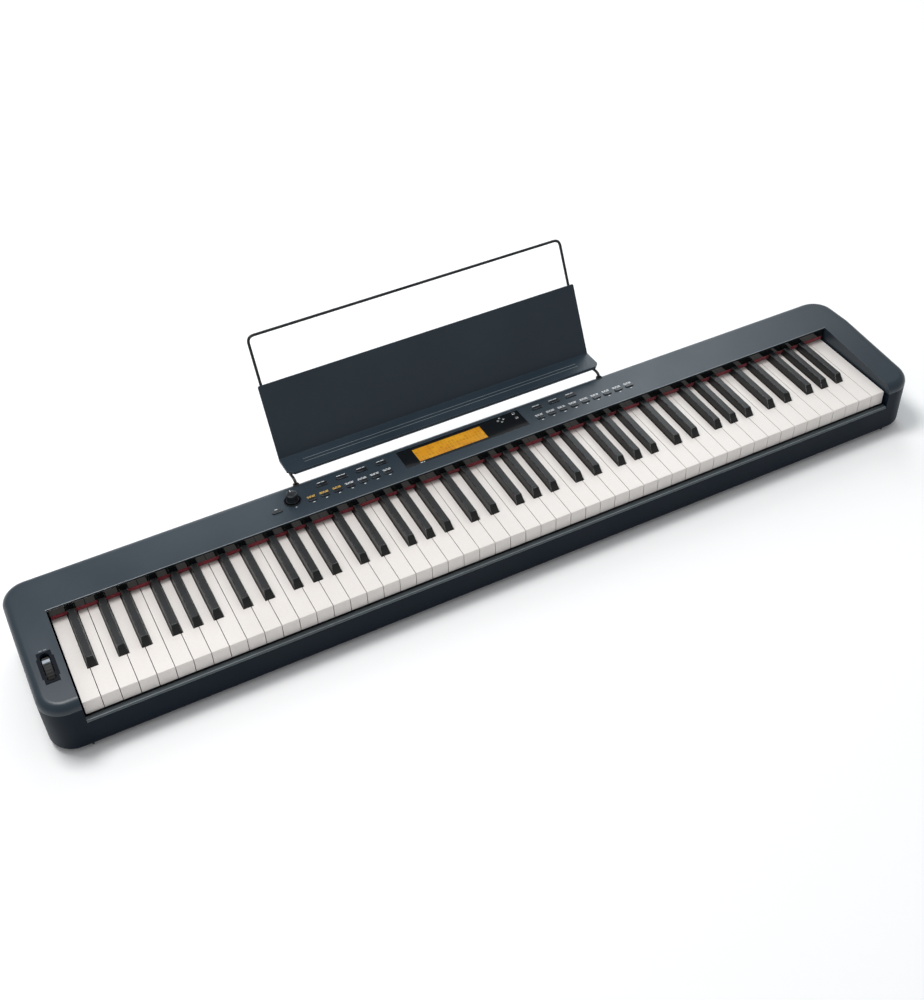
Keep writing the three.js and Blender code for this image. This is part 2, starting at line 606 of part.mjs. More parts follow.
const legCorners = [
  new THREE.Vector3(0, legY, panelRearZ - legDepth),
  new THREE.Vector3(0, legY, panelRearZ + 7),
  wireFoot,
  wireTop,
].map((p) => p.clone().setX(-wireHalfWidth));
const wireCorners = [...legCorners, ...legCorners.map((p) => p.clone().setX(wireHalfWidth)).reverse()];
const wireSection = new THREE.Shape().absarc(0, 0, wireRadius, 0, 2 * Math.PI);
// Each stretch takes its own steps, so that the bends are round and the straights are two rings.
const wirePath = roundedPath(wireCorners, wireBend);
const wirePoints = wirePath.curves.flatMap((curve) =>
  curve.isLineCurve3 ? [curve.getPoint(0)] : [0, 0.25, 0.5, 0.75].map((t) => curve.getPoint(t)));
wirePoints.push(wireCorners.at(-1));
class Through extends THREE.Curve {
  getPoint(t) {
    const s = t * (wirePoints.length - 1);
    const i = Math.min(Math.floor(s), wirePoints.length - 2);
    return wirePoints[i].clone().lerp(wirePoints[i + 1], s - i);
  }
  getPointAt(t) { return this.getPoint(t); }
  getTangentAt(t) { return this.getTangent(t); }
}
add('music_rest_wire', new THREE.ExtrudeGeometry(wireSection, {
  steps: wirePoints.length - 1,
  curveSegments: 4,
  extrudePath: new Through(),
}), 'wire');

// ---------------------------------------------------------------- the part's frame
const footprint = new THREE.Box3().setFromObject(piano, true);
piano.position.y = -(footprint.min.y + footprint.max.y) / 2;

export default piano;
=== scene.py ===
# %% [markdown]
# # A digital piano with a wire music rest
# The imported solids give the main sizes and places. This script keeps them as the frame and builds the
# visible pieces round them: the two casings, each key, the controls, the music rest and the finishes on all
# of them. Everything is measured in millimetres from the front edge of the white keys, because the keys set
# most of the other sizes. One matrix turns each piece into the frame's metres when it is finished.

import json
from math import atan2, cos, pi, radians, sin

import bmesh
import bpy
from mathutils import Matrix, Vector

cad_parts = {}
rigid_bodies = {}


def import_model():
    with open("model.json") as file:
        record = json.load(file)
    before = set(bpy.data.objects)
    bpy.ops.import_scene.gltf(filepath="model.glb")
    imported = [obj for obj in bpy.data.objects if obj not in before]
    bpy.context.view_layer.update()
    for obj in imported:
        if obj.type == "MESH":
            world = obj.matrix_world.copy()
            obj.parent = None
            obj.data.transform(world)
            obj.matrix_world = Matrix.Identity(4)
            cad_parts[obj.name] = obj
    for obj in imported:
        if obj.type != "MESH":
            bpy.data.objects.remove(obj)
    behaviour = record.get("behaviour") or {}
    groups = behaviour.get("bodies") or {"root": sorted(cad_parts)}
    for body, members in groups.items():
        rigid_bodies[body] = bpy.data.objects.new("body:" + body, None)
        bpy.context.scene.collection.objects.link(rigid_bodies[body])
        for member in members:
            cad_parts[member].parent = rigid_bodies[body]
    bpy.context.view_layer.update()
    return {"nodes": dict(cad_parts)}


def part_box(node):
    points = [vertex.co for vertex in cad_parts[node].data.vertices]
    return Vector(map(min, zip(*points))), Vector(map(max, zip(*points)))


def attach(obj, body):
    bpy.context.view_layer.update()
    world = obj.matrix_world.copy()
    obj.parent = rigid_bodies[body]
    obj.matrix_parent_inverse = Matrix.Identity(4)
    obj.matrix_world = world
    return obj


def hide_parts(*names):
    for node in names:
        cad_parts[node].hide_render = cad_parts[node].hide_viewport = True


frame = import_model()

KEY_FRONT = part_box("white_keys_bass")[0][1]
TO_FRAME = Matrix.Translation((0, KEY_FRONT, 0)) @ Matrix.Scale(0.001, 4)
FROM_FRAME = TO_FRAME.inverted()


def node_box(node):
    """The lowest and highest corner of a solid, in millimetres from the keys' front edge."""
    low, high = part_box(node)
    return FROM_FRAME @ Vector(low), FROM_FRAME @ Vector(high)


print("solids in the frame:", len(frame["nodes"]))

# %% [markdown]
# ## Node helpers
# The sky, the floor and every finish are made of nodes, so the helpers for them come first.

# %% A small toolkit for node trees
def socket(tree, name, kind, value=None, output=False):
    """Adds a named input or output to a group."""
    side = "OUTPUT" if output else "INPUT"
    made = tree.interface.new_socket(name, in_out=side, socket_type="NodeSocket" + kind)
    if value is not None:
        made.default_value = value


def fill(made, values):
    """Sets the inputs of a node. A value that is a socket of another node is linked."""
    for name, value in values.items():
        if isinstance(value, bpy.types.NodeSocket):
            made.id_data.links.new(value, made.inputs[name])
        else:
            made.inputs[name].default_value = value


def node(tree, kind, values=None, **settings):
    """Adds a node, sets its options and fills its inputs."""
    made = tree.nodes.new("ShaderNode" + kind)
    for name, value in settings.items():
        setattr(made, name, value)
    fill(made, values or {})
    return made


def mix_colors(tree, factor, a, b):
    """A colour mix. Its sockets share names, so they are reached by number."""
    made = tree.nodes.new("ShaderNodeMix")
    made.data_type = "RGBA"
    fill(made, {0: factor, 6: a, 7: b})
    return made.outputs[2]


def remap(tree, value, low, high, to_low=0.0, to_high=1.0):
    """Turns one range of a value into another."""
    return node(tree, "MapRange", {"Value": value, "From Min": low, "From Max": high,
                                   "To Min": to_low, "To Max": to_high}).outputs[0]


def noise(tree, place, scale, detail, **more):
    """The value of a noise at a place."""
    values = {"Vector": place, "Scale": scale, "Detail": detail, **more}
    return node(tree, "TexNoise", values).outputs["Fac"]


def calc(tree, operation, a, b, clamp=False):
    """One sum or product of two values."""
    return node(tree, "Math", {0: a, 1: b}, operation=operation, use_clamp=clamp).outputs[0]


def new_material(name):
    """A material, its node tree and its shader."""
    material = bpy.data.materials.new(name)
    material.use_nodes = True
    return material, material.node_tree, material.node_tree.nodes["Principled BSDF"]


print("node helpers ready")

# %% [markdown]
# ## Camera, floor and light
# The view is from above the bass end, looking along the keys towards the far corner. A camera is easiest to
# read as a place, a line of sight and a small roll, so the matrix is made from those. The floor is a large
# pale sheet. The main lamp hangs high behind the bass end. A wide one low at the back gives the tops their
# sheen, and a weak one behind the treble end brightens the far keys. The sky is a little brighter behind
# than in front.

# %% Camera
camera = bpy.data.objects.new("camera", bpy.data.cameras.new("camera"))
bpy.context.scene.collection.objects.link(camera)
camera.data.lens = 47.08
camera.data.sensor_width = 36
eye = TO_FRAME @ Vector((-607.7, -1094.0, 1323.5))
gaze = Vector((0.30869, 0.65636, -0.68841))
CAMERA_ROLL = radians(-2.56)
aim = gaze.to_track_quat("-Z", "Y").to_matrix().to_4x4()
camera.matrix_world = Matrix.Translation(eye) @ aim @ Matrix.Rotation(CAMERA_ROLL, 4, "Z")
bpy.context.scene.camera = camera
print("camera at", [round(v, 3) for v in eye])

# %% World, lamps and floor
scene = bpy.context.scene
scene.view_settings.view_transform = "Standard"
world = bpy.data.worlds.new("studio")
scene.world = world
world.use_nodes = True
sky = world.node_tree
direction = node(sky, "TexCoord").outputs["Generated"]
backward = node(sky, "SeparateXYZ", {0: direction}).outputs["Y"]
fill(sky.nodes["Background"], {"Strength": remap(sky, backward, -0.8, 0.8, 0.42, 0.56),
                               "Color": (0.97, 0.985, 1.0, 1.0)})


def area_lamp(name, place, size, power, tint=(1, 1, 1)):
    """A flat lamp of a width and height that looks at the middle of the keyboard."""
    lamp = bpy.data.lights.new(name, "AREA")
    lamp.shape = "RECTANGLE"
    lamp.size, lamp.size_y = size
    lamp.color = tint
    lamp.energy = power
    holder = bpy.data.objects.new(name, lamp)
    holder.location = place
    holder.rotation_euler = (Vector((0, 0, 0.08)) - Vector(place)).to_track_quat("-Z", "Y").to_euler()
    scene.collection.objects.link(holder)


area_lamp("key_lamp", (-0.8, 0.6, 2.9), (1.0, 1.0), 56)
area_lamp("back_softbox", (0.9, 2.7, 1.35), (2.6, 1.2), 22, tint=(0.86, 0.95, 1.0))
area_lamp("treble_softbox", (1.35, 1.4, 1.7), (0.8, 0.8), 6.5, tint=(0.90, 0.97, 1.0))

floor_bm = bmesh.new()
bmesh.ops.create_grid(floor_bm, x_segments=1, y_segments=1, size=6)
floor_mesh = bpy.data.meshes.new("floor")
floor_bm.to_mesh(floor_mesh)
floor = bpy.data.objects.new("floor", floor_mesh)
scene.collection.objects.link(floor)
paper, _, paper_shader = new_material("paper_floor")
fill(paper_shader, {"Base Color": (1.0, 1.0, 1.0, 1), "Roughness": 0.9, "Specular IOR Level": 0.0})
floor_mesh.materials.append(paper)

# %% [markdown]
# ## Finishes
# Moulded plastic isn't one flat colour. It has a fine spark-eroded grain and slow changes of tone where
# hands and dust have been. Its edges are also painted paler: a painted highlight, broken up by a fine
# speckle.
# All of that is one node group with plain inputs, and each material gives it its own values. The group puts
# out a colour, a roughness and a normal, and the shader stays in the material.

# %% Worn moulded surface with painted edge highlights
worn_and_highlit = bpy.data.node_groups.new("worn moulding with edge highlight", "ShaderNodeTree")
for name, kind, value in (
        ("Color", "Color", None), ("Edge Highlight Color", "Color", None), ("Edge Amount", "Float", 0.3),
        ("Tone Change", "Float", 0.15), ("Roughness", "Float", None), ("Roughness Change", "Float", 0.15),
        ("Grain Scale", "Float", None), ("Grain Stretch", "Vector", (1, 1, 1)),
        ("Grain Depth", "Float", None)):
    socket(worn_and_highlit, name, kind, value)
for name, kind in (("Color", "Color"), ("Roughness", "Float"), ("Normal", "Vector")):
    socket(worn_and_highlit, name, kind, output=True)
given = worn_and_highlit.nodes.new("NodeGroupInput")
result = worn_and_highlit.nodes.new("NodeGroupOutput")
place = node(worn_and_highlit, "TexCoord").outputs["Object"]
stretch = given.outputs["Grain Stretch"]
stretched = node(worn_and_highlit, "VectorMath", {0: place, 1: stretch}, operation="MULTIPLY")
grain = noise(worn_and_highlit, stretched.outputs[0], given.outputs["Grain Scale"], 2.0)
tone = noise(worn_and_highlit, place, 9.0, 4.0, Roughness=0.55)
speck = noise(worn_and_highlit, place, 160.0, 3.0)
tone_step = remap(worn_and_highlit, tone, 0.3, 0.7, -1.0, 1.0)
lighter = calc(worn_and_highlit, "MULTIPLY", tone_step, given.outputs["Tone Change"])
gain = calc(worn_and_highlit, "ADD", lighter, remap(worn_and_highlit, grain, 0.3, 0.7, 0.97, 1.03))
toned = node(worn_and_highlit, "VectorMath", {0: given.outputs["Color"], "Scale": gain}, operation="SCALE")
# Painted highlight: where the rounded normal turns away from the flat one, the colour is mixed towards the
# edge highlight colour, broken up by speckle.
rounded = node(worn_and_highlit, "Bevel", {"Radius": 0.0012}, samples=3)
flat = node(worn_and_highlit, "NewGeometry").outputs["Normal"]
likeness = node(worn_and_highlit, "VectorMath", {0: rounded.outputs[0], 1: flat}, operation="DOT_PRODUCT")
edge = remap(worn_and_highlit, likeness.outputs["Value"], 0.995, 0.9)
speckled_highlight = calc(worn_and_highlit, "MULTIPLY", edge, remap(worn_and_highlit, speck, 0.35, 0.6))
edge_highlight_mask = calc(worn_and_highlit, "MULTIPLY", speckled_highlight, given.outputs["Edge Amount"])
mixed = mix_colors(worn_and_highlit, edge_highlight_mask, toned.outputs[0], given.outputs["Edge Highlight Color"])
uneven = calc(worn_and_highlit, "MULTIPLY", tone_step, given.outputs["Roughness Change"])
rough = calc(worn_and_highlit, "ADD", uneven, given.outputs["Roughness"], clamp=True)
bumped = node(worn_and_highlit, "Bump", {"Strength": 0.5, "Distance": given.outputs["Grain Depth"], "Height": grain})
fill(result, {"Color": mixed, "Roughness": rough, "Normal": bumped.outputs[0]})
print("group:", worn_and_highlit.name, [item.name for item in worn_and_highlit.interface.items_tree])


# %% Materials made from the worn surface with its painted edge highlights
def moulded(name, color, edge, roughness, grain_scale, grain_depth_mm, shader=None, **inputs):
    """A material whose colour, roughness and normal come from the worn surface and its painted edge
    highlight.
    """
    material, tree, bsdf = new_material(name)
    surface = tree.nodes.new("ShaderNodeGroup")
    surface.node_tree = worn_and_highlit
    fill(surface, {"Color": (*color, 1), "Edge Highlight Color": (*edge, 1), "Roughness": roughness,
                   "Grain Scale": grain_scale, "Grain Depth": grain_depth_mm * 0.001})
    fill(surface, {key.replace("_", " ").title(): value for key, value in inputs.items()})
    fill(bsdf, shader or {})
    fill(bsdf, {"Base Color": surface.outputs["Color"], "Roughness": surface.outputs["Roughness"],
                "Normal": surface.outputs["Normal"]})
    return material


# In each material the second colour is its painted edge highlight.
slate_top = moulded("slate_top", (0.016, 0.028, 0.040), (0.11, 0.14, 0.17), 0.36, 1500, 0.05,
                    {"Specular IOR Level": 0.42}, edge_amount=0.35, tone_change=0.10, roughness_change=0.05)
navy_case = moulded("navy_case", (0.0025, 0.006, 0.012), (0.035, 0.05, 0.07), 0.45, 1300, 0.06,
                    {"Specular IOR Level": 0.12, "Specular Tint": (0.62, 0.82, 1.0, 1)},
                    edge_amount=0.4, tone_change=0.12, roughness_change=0.08)
ledge_grey = moulded("ledge_grey", (0.052, 0.068, 0.076), (0.25, 0.28, 0.30), 0.45, 1300, 0.05,
                     edge_amount=0.8)
# Pale grey for painted highlight strips along edges and ridges, and for the printed marks by the wheel.
highlight_and_print_grey = moulded("highlight_and_print_grey", (0.20, 0.23, 0.25), (0.4, 0.42, 0.44), 0.3, 900, 0.02)
ivory = moulded("ivory_feel", (0.77, 0.725, 0.69), (0.90, 0.88, 0.85), 0.36, 700, 0.05, edge_amount=0.5,
                tone_change=0.025, grain_stretch=(2.2, 0.5, 1.0), roughness_change=0.06)
ebony = moulded("ebony_feel", (0.0045, 0.005, 0.0055), (0.30, 0.31, 0.31), 0.36, 800, 0.16,
                {"Specular IOR Level": 0.38}, edge_amount=1.0, tone_change=0.12,
                grain_stretch=(2.5, 0.35, 1.0), roughness_change=0.08)
control_black = moulded("control_black", (0.005, 0.007, 0.010), (0.20, 0.24, 0.28), 0.34, 1400, 0.04,
                        edge_amount=0.7)
piano_gloss = moulded("piano_gloss", (0.004, 0.005, 0.006), (0.05, 0.05, 0.06), 0.08, 300, 0.002,
                      edge_amount=0.3, roughness_change=0.03)
grip_rubber = moulded("grip_rubber", (0.012, 0.012, 0.013), (0.04, 0.04, 0.04), 0.75, 1100, 0.15,
                      edge_amount=0.4)
chassis_grey = moulded("chassis_grey", (0.09, 0.095, 0.10), (0.2, 0.2, 0.21), 0.6, 600, 0.1)
weight_steel = moulded("weight_steel", (0.14, 0.14, 0.145), (0.35, 0.35, 0.35), 0.45, 500, 0.05,
                       {"Metallic": 0.8})
circuit_green = moulded("circuit_green", (0.012, 0.085, 0.035), (0.2, 0.25, 0.15), 0.4, 400, 0.05)
cone_paper = moulded("cone_paper", (0.012, 0.012, 0.013), (0.04, 0.04, 0.04), 0.8, 700, 0.2)
plated_metal = moulded("plated_metal", (0.62, 0.61, 0.58), (0.8, 0.8, 0.78), 0.25, 900, 0.02,
                       {"Metallic": 1.0})
rest_wire_paint = moulded("rest_wire_paint", (0.006, 0.0065, 0.0075), (0.08, 0.08, 0.09), 0.32, 1200, 0.03,
                          edge_amount=0.1)
bezel_navy = moulded("bezel_navy", (0.002, 0.004, 0.009), (0.02, 0.03, 0.04), 0.42, 900, 0.03,
                     {"Specular IOR Level": 0.08}, edge_amount=0.3)
wheel_grey = moulded("wheel_grey", (0.34, 0.38, 0.42), (0.5, 0.5, 0.5), 0.3, 900, 0.02)
legend_white = moulded("legend_white", (0.78, 0.80, 0.82), (0.8, 0.8, 0.8), 0.6, 900, 0.01)
legend_amber = moulded("legend_amber", (0.85, 0.50, 0.07), (0.8, 0.5, 0.1), 0.6, 900, 0.01)
silver_button = moulded("silver_button", (0.42, 0.44, 0.45), (0.8, 0.8, 0.8), 0.25, 1200, 0.01,
                        {"Metallic": 0.9})
print("materials so far:", len(bpy.data.materials))

# %% [markdown]
# ## Felt and the lit display
# Felt is a mat of short fibres: a fine distorted noise for the bump, a coarser one for the colour, and a
# soft sheen. The display is a lit panel. Its glow varies in soft pools and carries a faint grid of cells,
# which spell nothing.

# %% Felt
red_felt, felt_tree, felt_shader = new_material("red_felt")
felt_place = node(felt_tree, "TexCoord").outputs["Object"]
fibres = noise(felt_tree, felt_place, 2600.0, 3.0, Distortion=1.5)
clumps = noise(felt_tree, felt_place, 260.0, 4.0)
felt_color = mix_colors(felt_tree, clumps, (0.20, 0.003, 0.014, 1), (0.40, 0.012, 0.034, 1))
felt_bump = node(felt_tree, "Bump", {"Strength": 0.8, "Distance": 0.0006, "Height": fibres})
fill(felt_shader, {"Roughness": 0.95, "Sheen Weight": 0.5, "Base Color": felt_color,
                   "Normal": felt_bump.outputs[0]})

# %% Display glow
amber_glow, glow_tree, glow_shader = new_material("amber_glow")
glow_place = node(glow_tree, "TexCoord").outputs["Object"]
cells = node(glow_tree, "TexBrick", {
    "Vector": glow_place, "Scale": 1.0, "Brick Width": 0.0052, "Row Height": 0.0058, "Mortar Size": 0.0007,
    "Color1": (0.0, 0.0, 0.0, 1), "Color2": (1.0, 1.0, 1.0, 1), "Mortar": (1, 1, 1, 1)}, offset=0.0)
pools = noise(glow_tree, glow_place, 55.0, 1.0)
lit = mix_colors(glow_tree, pools, (0.46, 0.17, 0.004, 1), (0.60, 0.30, 0.012, 1))
faint = remap(glow_tree, cells.outputs["Color"], 0.0, 1.0, 0.72, 1.0)
inked = node(glow_tree, "VectorMath", {0: lit, "Scale": faint}, operation="SCALE")
fill(glow_shader, {"Roughness": 0.25, "Emission Strength": 0.2, "Base Color": inked.outputs[0],
                   "Emission Color": inked.outputs[0]})
print("felt and display ready")

# %% [markdown]
# ## Making a piece
# Each piece starts as a bmesh in millimetres. These helpers give it rounded edges, cut it with other
# shapes, and turn it into an object that rides on a body. Edges that are sharper than a set angle get a
# small round, as every moulded edge has, and the shading is weighted by face area so that large faces stay
# flat.

# %% Helpers for shapes
def at(x, y, z):
    """A move to a place."""
    return Matrix.Translation((x, y, z))


def face_out(bm):
    """Turns every face outwards."""
    bmesh.ops.recalc_face_normals(bm, faces=bm.faces)


def edges_where(bm, test):
    """The edges whose two points both pass the test."""
    return [e for e in bm.edges if all(test(v.co) for v in e.verts)]


def move(bm, matrix):
    """Moves a whole shape by a matrix."""
    bmesh.ops.transform(bm, matrix=matrix, verts=bm.verts)


def round_edges(bm, edges, radius, segments, clamp=False):
    """Rounds the given edges."""
    bmesh.ops.bevel(bm, geom=edges, offset=radius, segments=segments, affect="EDGES", profile=0.5,
                    material=-1, clamp_overlap=clamp)


def box_mm(x0, x1, y0, y1, z0, z1, bm=None):
    """A box between two corners, in a new bmesh or added to one."""
    bm = bm or bmesh.new()
    size = Matrix.Diagonal((x1 - x0, y1 - y0, z1 - z0, 1))
    middle = at((x0 + x1) / 2, (y0 + y1) / 2, (z0 + z1) / 2)
    bmesh.ops.create_cube(bm, size=1, matrix=middle @ size)
    return bm


def disc_mm(radius, depth, matrix, bm=None, sides=32):
    """A cylinder along Z from 0 to depth, then placed by the matrix."""
    bm = bm or bmesh.new()
    bmesh.ops.create_cone(bm, cap_ends=True, segments=sides, radius1=radius, radius2=radius, depth=depth,
                          matrix=matrix @ at(0, 0, depth / 2))
    return bm


def pill_mm(width, depth, z0, z1, matrix, bm=None):
    """A slot-shaped block: a box whose four upright edges are rounded almost to half its depth."""
    block = box_mm(-width / 2, width / 2, -depth / 2, depth / 2, z0, z1)
    upright = [e for e in block.edges if abs(e.verts[0].co.z - e.verts[1].co.z) > 0.5 * (z1 - z0)]
    round_edges(block, upright, depth * 0.46, 5)
    move(block, matrix)
    if bm is None:
        return block
    append(bm, block)
    return bm


def append(bm, other):
    """Adds the other shape to the first and frees it."""
    carrier = bpy.data.meshes.new("carrier")
    other.to_mesh(carrier)
    other.free()
    bm.from_mesh(carrier)
    bpy.data.meshes.remove(carrier)


def soften(bm, radius, angle=35, segments=2):
    """Rounds every edge that is sharper than the angle, and returns the shape."""
    sharp = [e for e in bm.edges if e.is_manifold and e.calc_face_angle(0) > radians(angle)]
    round_edges(bm, sharp, radius, segments, clamp=True)
    return bm


def slice_at(bm, point, normal, discard=False):
    """Cuts along a plane. With discard, what is beyond the plane goes and the cut is closed."""
    bmesh.ops.bisect_plane(bm, geom=bm.verts[:] + bm.edges[:] + bm.faces[:], plane_co=point,
                           plane_no=normal, clear_outer=discard)
    if discard:
        bmesh.ops.holes_fill(bm, edges=[e for e in bm.edges if e.is_boundary], sides=0)


def extrude(bm, faces):
    """Extrudes the faces and returns the new points."""
    made = bmesh.ops.extrude_face_region(bm, geom=faces)
    return [v for v in made["geom"] if isinstance(v, bmesh.types.BMVert)]


def carve(bm, cutter, operation="DIFFERENCE"):
    """Cuts one shape with another and returns the result as a new bmesh."""
    bodies = []
    for label, shape in (("stock", bm), ("tool", cutter)):
        mesh = bpy.data.meshes.new(label)
        shape.to_mesh(mesh)
        shape.free()
        bodies.append(bpy.data.objects.new(label, mesh))
        scene.collection.objects.link(bodies[-1])
    stock, tool = bodies
    step = stock.modifiers.new("cut", "BOOLEAN")
    step.operation = operation
    step.solver = "EXACT"
    step.object = tool
    bpy.context.view_layer.update()
    cut_bm = bmesh.new()
    cut_bm.from_object(stock, bpy.context.evaluated_depsgraph_get())
    for body in bodies:
        mesh = body.data
        bpy.data.objects.remove(body)
        bpy.data.meshes.remove(mesh)
    bmesh.ops.remove_doubles(cut_bm, verts=cut_bm.verts, dist=0.002)
    bmesh.ops.dissolve_degenerate(cut_bm, edges=cut_bm.edges, dist=0.002)
    return cut_bm


def piece(name, bm, material, body, nodes=(), smooth=38):
    """Turns a bmesh into an object that rides on a body and stands for the named solids."""
    move(bm, TO_FRAME)
    mesh = bpy.data.meshes.new(name)
    bm.to_mesh(mesh)
    bm.free()
    mesh.materials.append(material)
    mesh.shade_smooth()
    mesh.set_sharp_from_angle(angle=radians(smooth))
    made = bpy.data.objects.new(name, mesh)
    scene.collection.objects.link(made)
    even = made.modifiers.new("even shading", "WEIGHTED_NORMAL")
    even.keep_sharp = True
    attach(made, body)
    if nodes:
        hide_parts(*nodes)
    return made


# %% [markdown]
# ## The panel's and the rest's own frames
# The control panel slopes down towards the back, and the rest leans away from the player. Each has its own
# matrix, so that its pieces can be made flat and then set in place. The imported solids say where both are.

# %% Frames and driving sizes
case_low, case_high = node_box("lower_case")
top_low, top_high = node_box("upper_case")
keys_low, keys_high = node_box("white_keys_bass")
felt_low, felt_high = node_box("name_felt")
CASE_HALF = case_high.x
CASE_FRONT, CASE_REAR = case_low.y, case_high.y
CORNER = 34.0
SEAM = top_low.z
WELL_HALF = felt_high.x + 3.0
WELL_REAR = felt_low.y - 0.3
CREST = top_high.z
REAR_TOP = 95.2
ARM_FRONT = 88.0
FASCIA_BOTTOM = felt_high.z + 0.3
PANEL_SLOPE = atan2(CREST - REAR_TOP, CASE_REAR - WELL_REAR)
PANEL = at(0, WELL_REAR, CREST) @ Matrix.Rotation(-PANEL_SLOPE, 4, "X")

rest_high = node_box("music_rest_panel")[1]
REST_LEAN = radians(25.6)
PLATE_HEIGHT = 111.0
PLATE_THICK = 2.4
REST = at(
    0,
    rest_high.y - PLATE_HEIGHT * sin(REST_LEAN) - PLATE_THICK * cos(REST_LEAN),
    rest_high.z - PLATE_HEIGHT * cos(REST_LEAN)) @ Matrix.Rotation(pi / 2 - REST_LEAN, 4, "X")


def on_panel(node_name):
    """The middle of a solid in the panel's frame: x along it, y up its slope, z out of it."""
    low, high = node_box(node_name)
    return PANEL.inverted() @ ((low + high) / 2)


def panel_at(x, v, w=0):
    """A place in the panel's frame: x along it, v up its slope and w out of it."""
    return PANEL @ at(x, v, w)


QUARTER_X = Matrix.Rotation(pi / 2, 4, "X")
QUARTER_Z = Matrix.Rotation(pi / 2, 4, "Z")
print("panel crest", round(CREST, 1), "rest foot", [round(v, 1) for v in REST.translation])

# %% [markdown]
# ## Casings
# Both casings are one rounded block seen from above, so one function makes the block and the casings differ
# in where they are cut. The block is a box whose top follows three heights: low at the player's side,
# highest above the keys and a little lower at the back. The corners are rounded first and the rims after
# them, because a rim that runs round a finished corner stays smooth. A smaller copy of the block makes the
# hollow.

# %% The rounded block
def casing_block(inset, bottom, rim, bottom_rim):
    """A block with the casing's outline, pulled in by inset all round."""
    half = CASE_HALF - inset
    bm = box_mm(-half, half, CASE_FRONT + inset, CASE_REAR - inset, bottom, CREST)
    slice_at(bm, (0, WELL_REAR, 0), (0, 1, 0))
    for vert in bm.verts:
        if vert.co.z > bottom + 1:
            beside = vert.co.y - WELL_REAR
            if beside > 0.01:
                height = CREST + (REAR_TOP - CREST) * beside / (CASE_REAR - WELL_REAR)
            else:
                height = CREST + (CREST - ARM_FRONT) * beside / (WELL_REAR - CASE_FRONT)
            vert.co.z = height - inset
    upright = []
    for e in bm.edges:
        one, two = (v.co for v in e.verts)
        stands = abs(one.z - two.z) > 5 and (one - two).xy.length < 0.01
        at_side = abs(abs(one.x) - CASE_HALF + inset) < 0.01
        at_end = min(abs(one.y - CASE_FRONT - inset), abs(one.y - CASE_REAR + inset)) < 0.01
        if stands and at_side and at_end:
            upright.append(e)
    round_edges(bm, upright, CORNER - inset, 14)
    for height_side, size in ((1, rim), (-1, bottom_rim)):
        if size <= 0:
            continue
        edges = []
        for e in bm.edges:
            if len(e.link_faces) == 2:
                tilts = sorted(height_side * f.normal.z for f in e.link_faces)
                if tilts[1] > 0.9 and abs(tilts[0]) < 0.3:
                    edges.append(e)
        round_edges(bm, edges, size, 8)
        bm.normal_update()
    return bm


RIM = 12.0
WALL = 3.0

# %% [markdown]
# ## Button rows
# The rows come before the upper casing because it needs a hole for each cap. A row is given by its solid,
# the number of caps and the width of one, and the caps are spread evenly between the row's two ends.

# %% Where the caps are
ROWS = {"left_lower_buttons": (7, 13.0), "left_upper_buttons": (4, 18.0),
        "right_upper_buttons": (3, 18.0), "right_lower_buttons": (9, 13.0)}
CAP_DEPTH = 6.0
CAP_GAP = 0.7
POWER_WIDTH = 15.0
KNOB_HOLE = 10.2
CAP_RISE = 1.6


def cap_places(row):
    """The middle of each cap of a row, in the panel's frame."""
    count, width = ROWS[row]
    low, high = node_box(row)
    spot = on_panel(row)
    step = (high.x - low.x - width) / (count - 1)
    return [Vector((low.x + width / 2 + i * step, spot.y, 0)) for i in range(count)]


knob_spot = on_panel("volume_knob")
power_spot = on_panel("power_button")
window_spot = on_panel("display_window")
window_low, window_high = node_box("display_window")
WINDOW_HALF = (window_high.x - window_low.x) / 2
WINDOW_DEPTH = 39.0
wheel_low, wheel_high = node_box("pitch_wheel")
WHEEL = (wheel_low + wheel_high) / 2
WHEEL_RADIUS = (wheel_high.y - wheel_low.y) / 2
SLOT_LENGTH = 44.0
SLOT_WIDTH = 12.4
WINDOW_GAP = 0.3
print("caps:", sum(len(cap_places(row)) for row in ROWS))

# %% Upper casing
shell = casing_block(0, SEAM, RIM, 0)
hollow = casing_block(WALL, SEAM - 20, RIM - WALL, 0)
fence = box_mm(-WELL_HALF - WALL, WELL_HALF + WALL, CASE_FRONT - 50, WELL_REAR + WALL, 0, 200)
shell = carve(shell, carve(hollow, fence))
shell = carve(shell, box_mm(-WELL_HALF, WELL_HALF, CASE_FRONT - 50, WELL_REAR, 0, 200))
cutters = box_mm(-WELL_HALF, WELL_HALF, WELL_REAR - 1, WELL_REAR + WALL + 1, 0, FASCIA_BOTTOM)
for row, (count, width) in ROWS.items():
    for spot in cap_places(row):
        pill_mm(width + CAP_GAP, CAP_DEPTH + CAP_GAP, -12, 12, panel_at(*spot), cutters)
pill_mm(POWER_WIDTH + CAP_GAP, CAP_DEPTH + CAP_GAP, -12, 12, panel_at(power_spot.x, power_spot.y), cutters)
disc_mm(KNOB_HOLE, 24, panel_at(knob_spot.x, knob_spot.y, -12), cutters)
hole_half = WINDOW_HALF + WINDOW_GAP
hole_rise = WINDOW_DEPTH / 2 + WINDOW_GAP
window_hole = box_mm(-hole_half, hole_half, -hole_rise, hole_rise, -12, 12)
move(window_hole, panel_at(window_spot.x, window_spot.y))
append(cutters, window_hole)
append(cutters, pill_mm(SLOT_LENGTH, SLOT_WIDTH, SEAM + 3, 130, at(WHEEL.x, WHEEL.y, 0) @ QUARTER_Z))
leg_low, leg_high = node_box("music_rest_wire")
WIRE_RADIUS = 2.1
LEG_X = leg_high.x - WIRE_RADIUS
LEG_Y = leg_low.y + WIRE_RADIUS
for side in (-1, 1):
    disc_mm(WIRE_RADIUS + 0.4, 60, at(side * LEG_X, LEG_Y, SEAM), cutters, sides=24)
shell = carve(shell, cutters)
soften(shell, 0.45, angle=50)
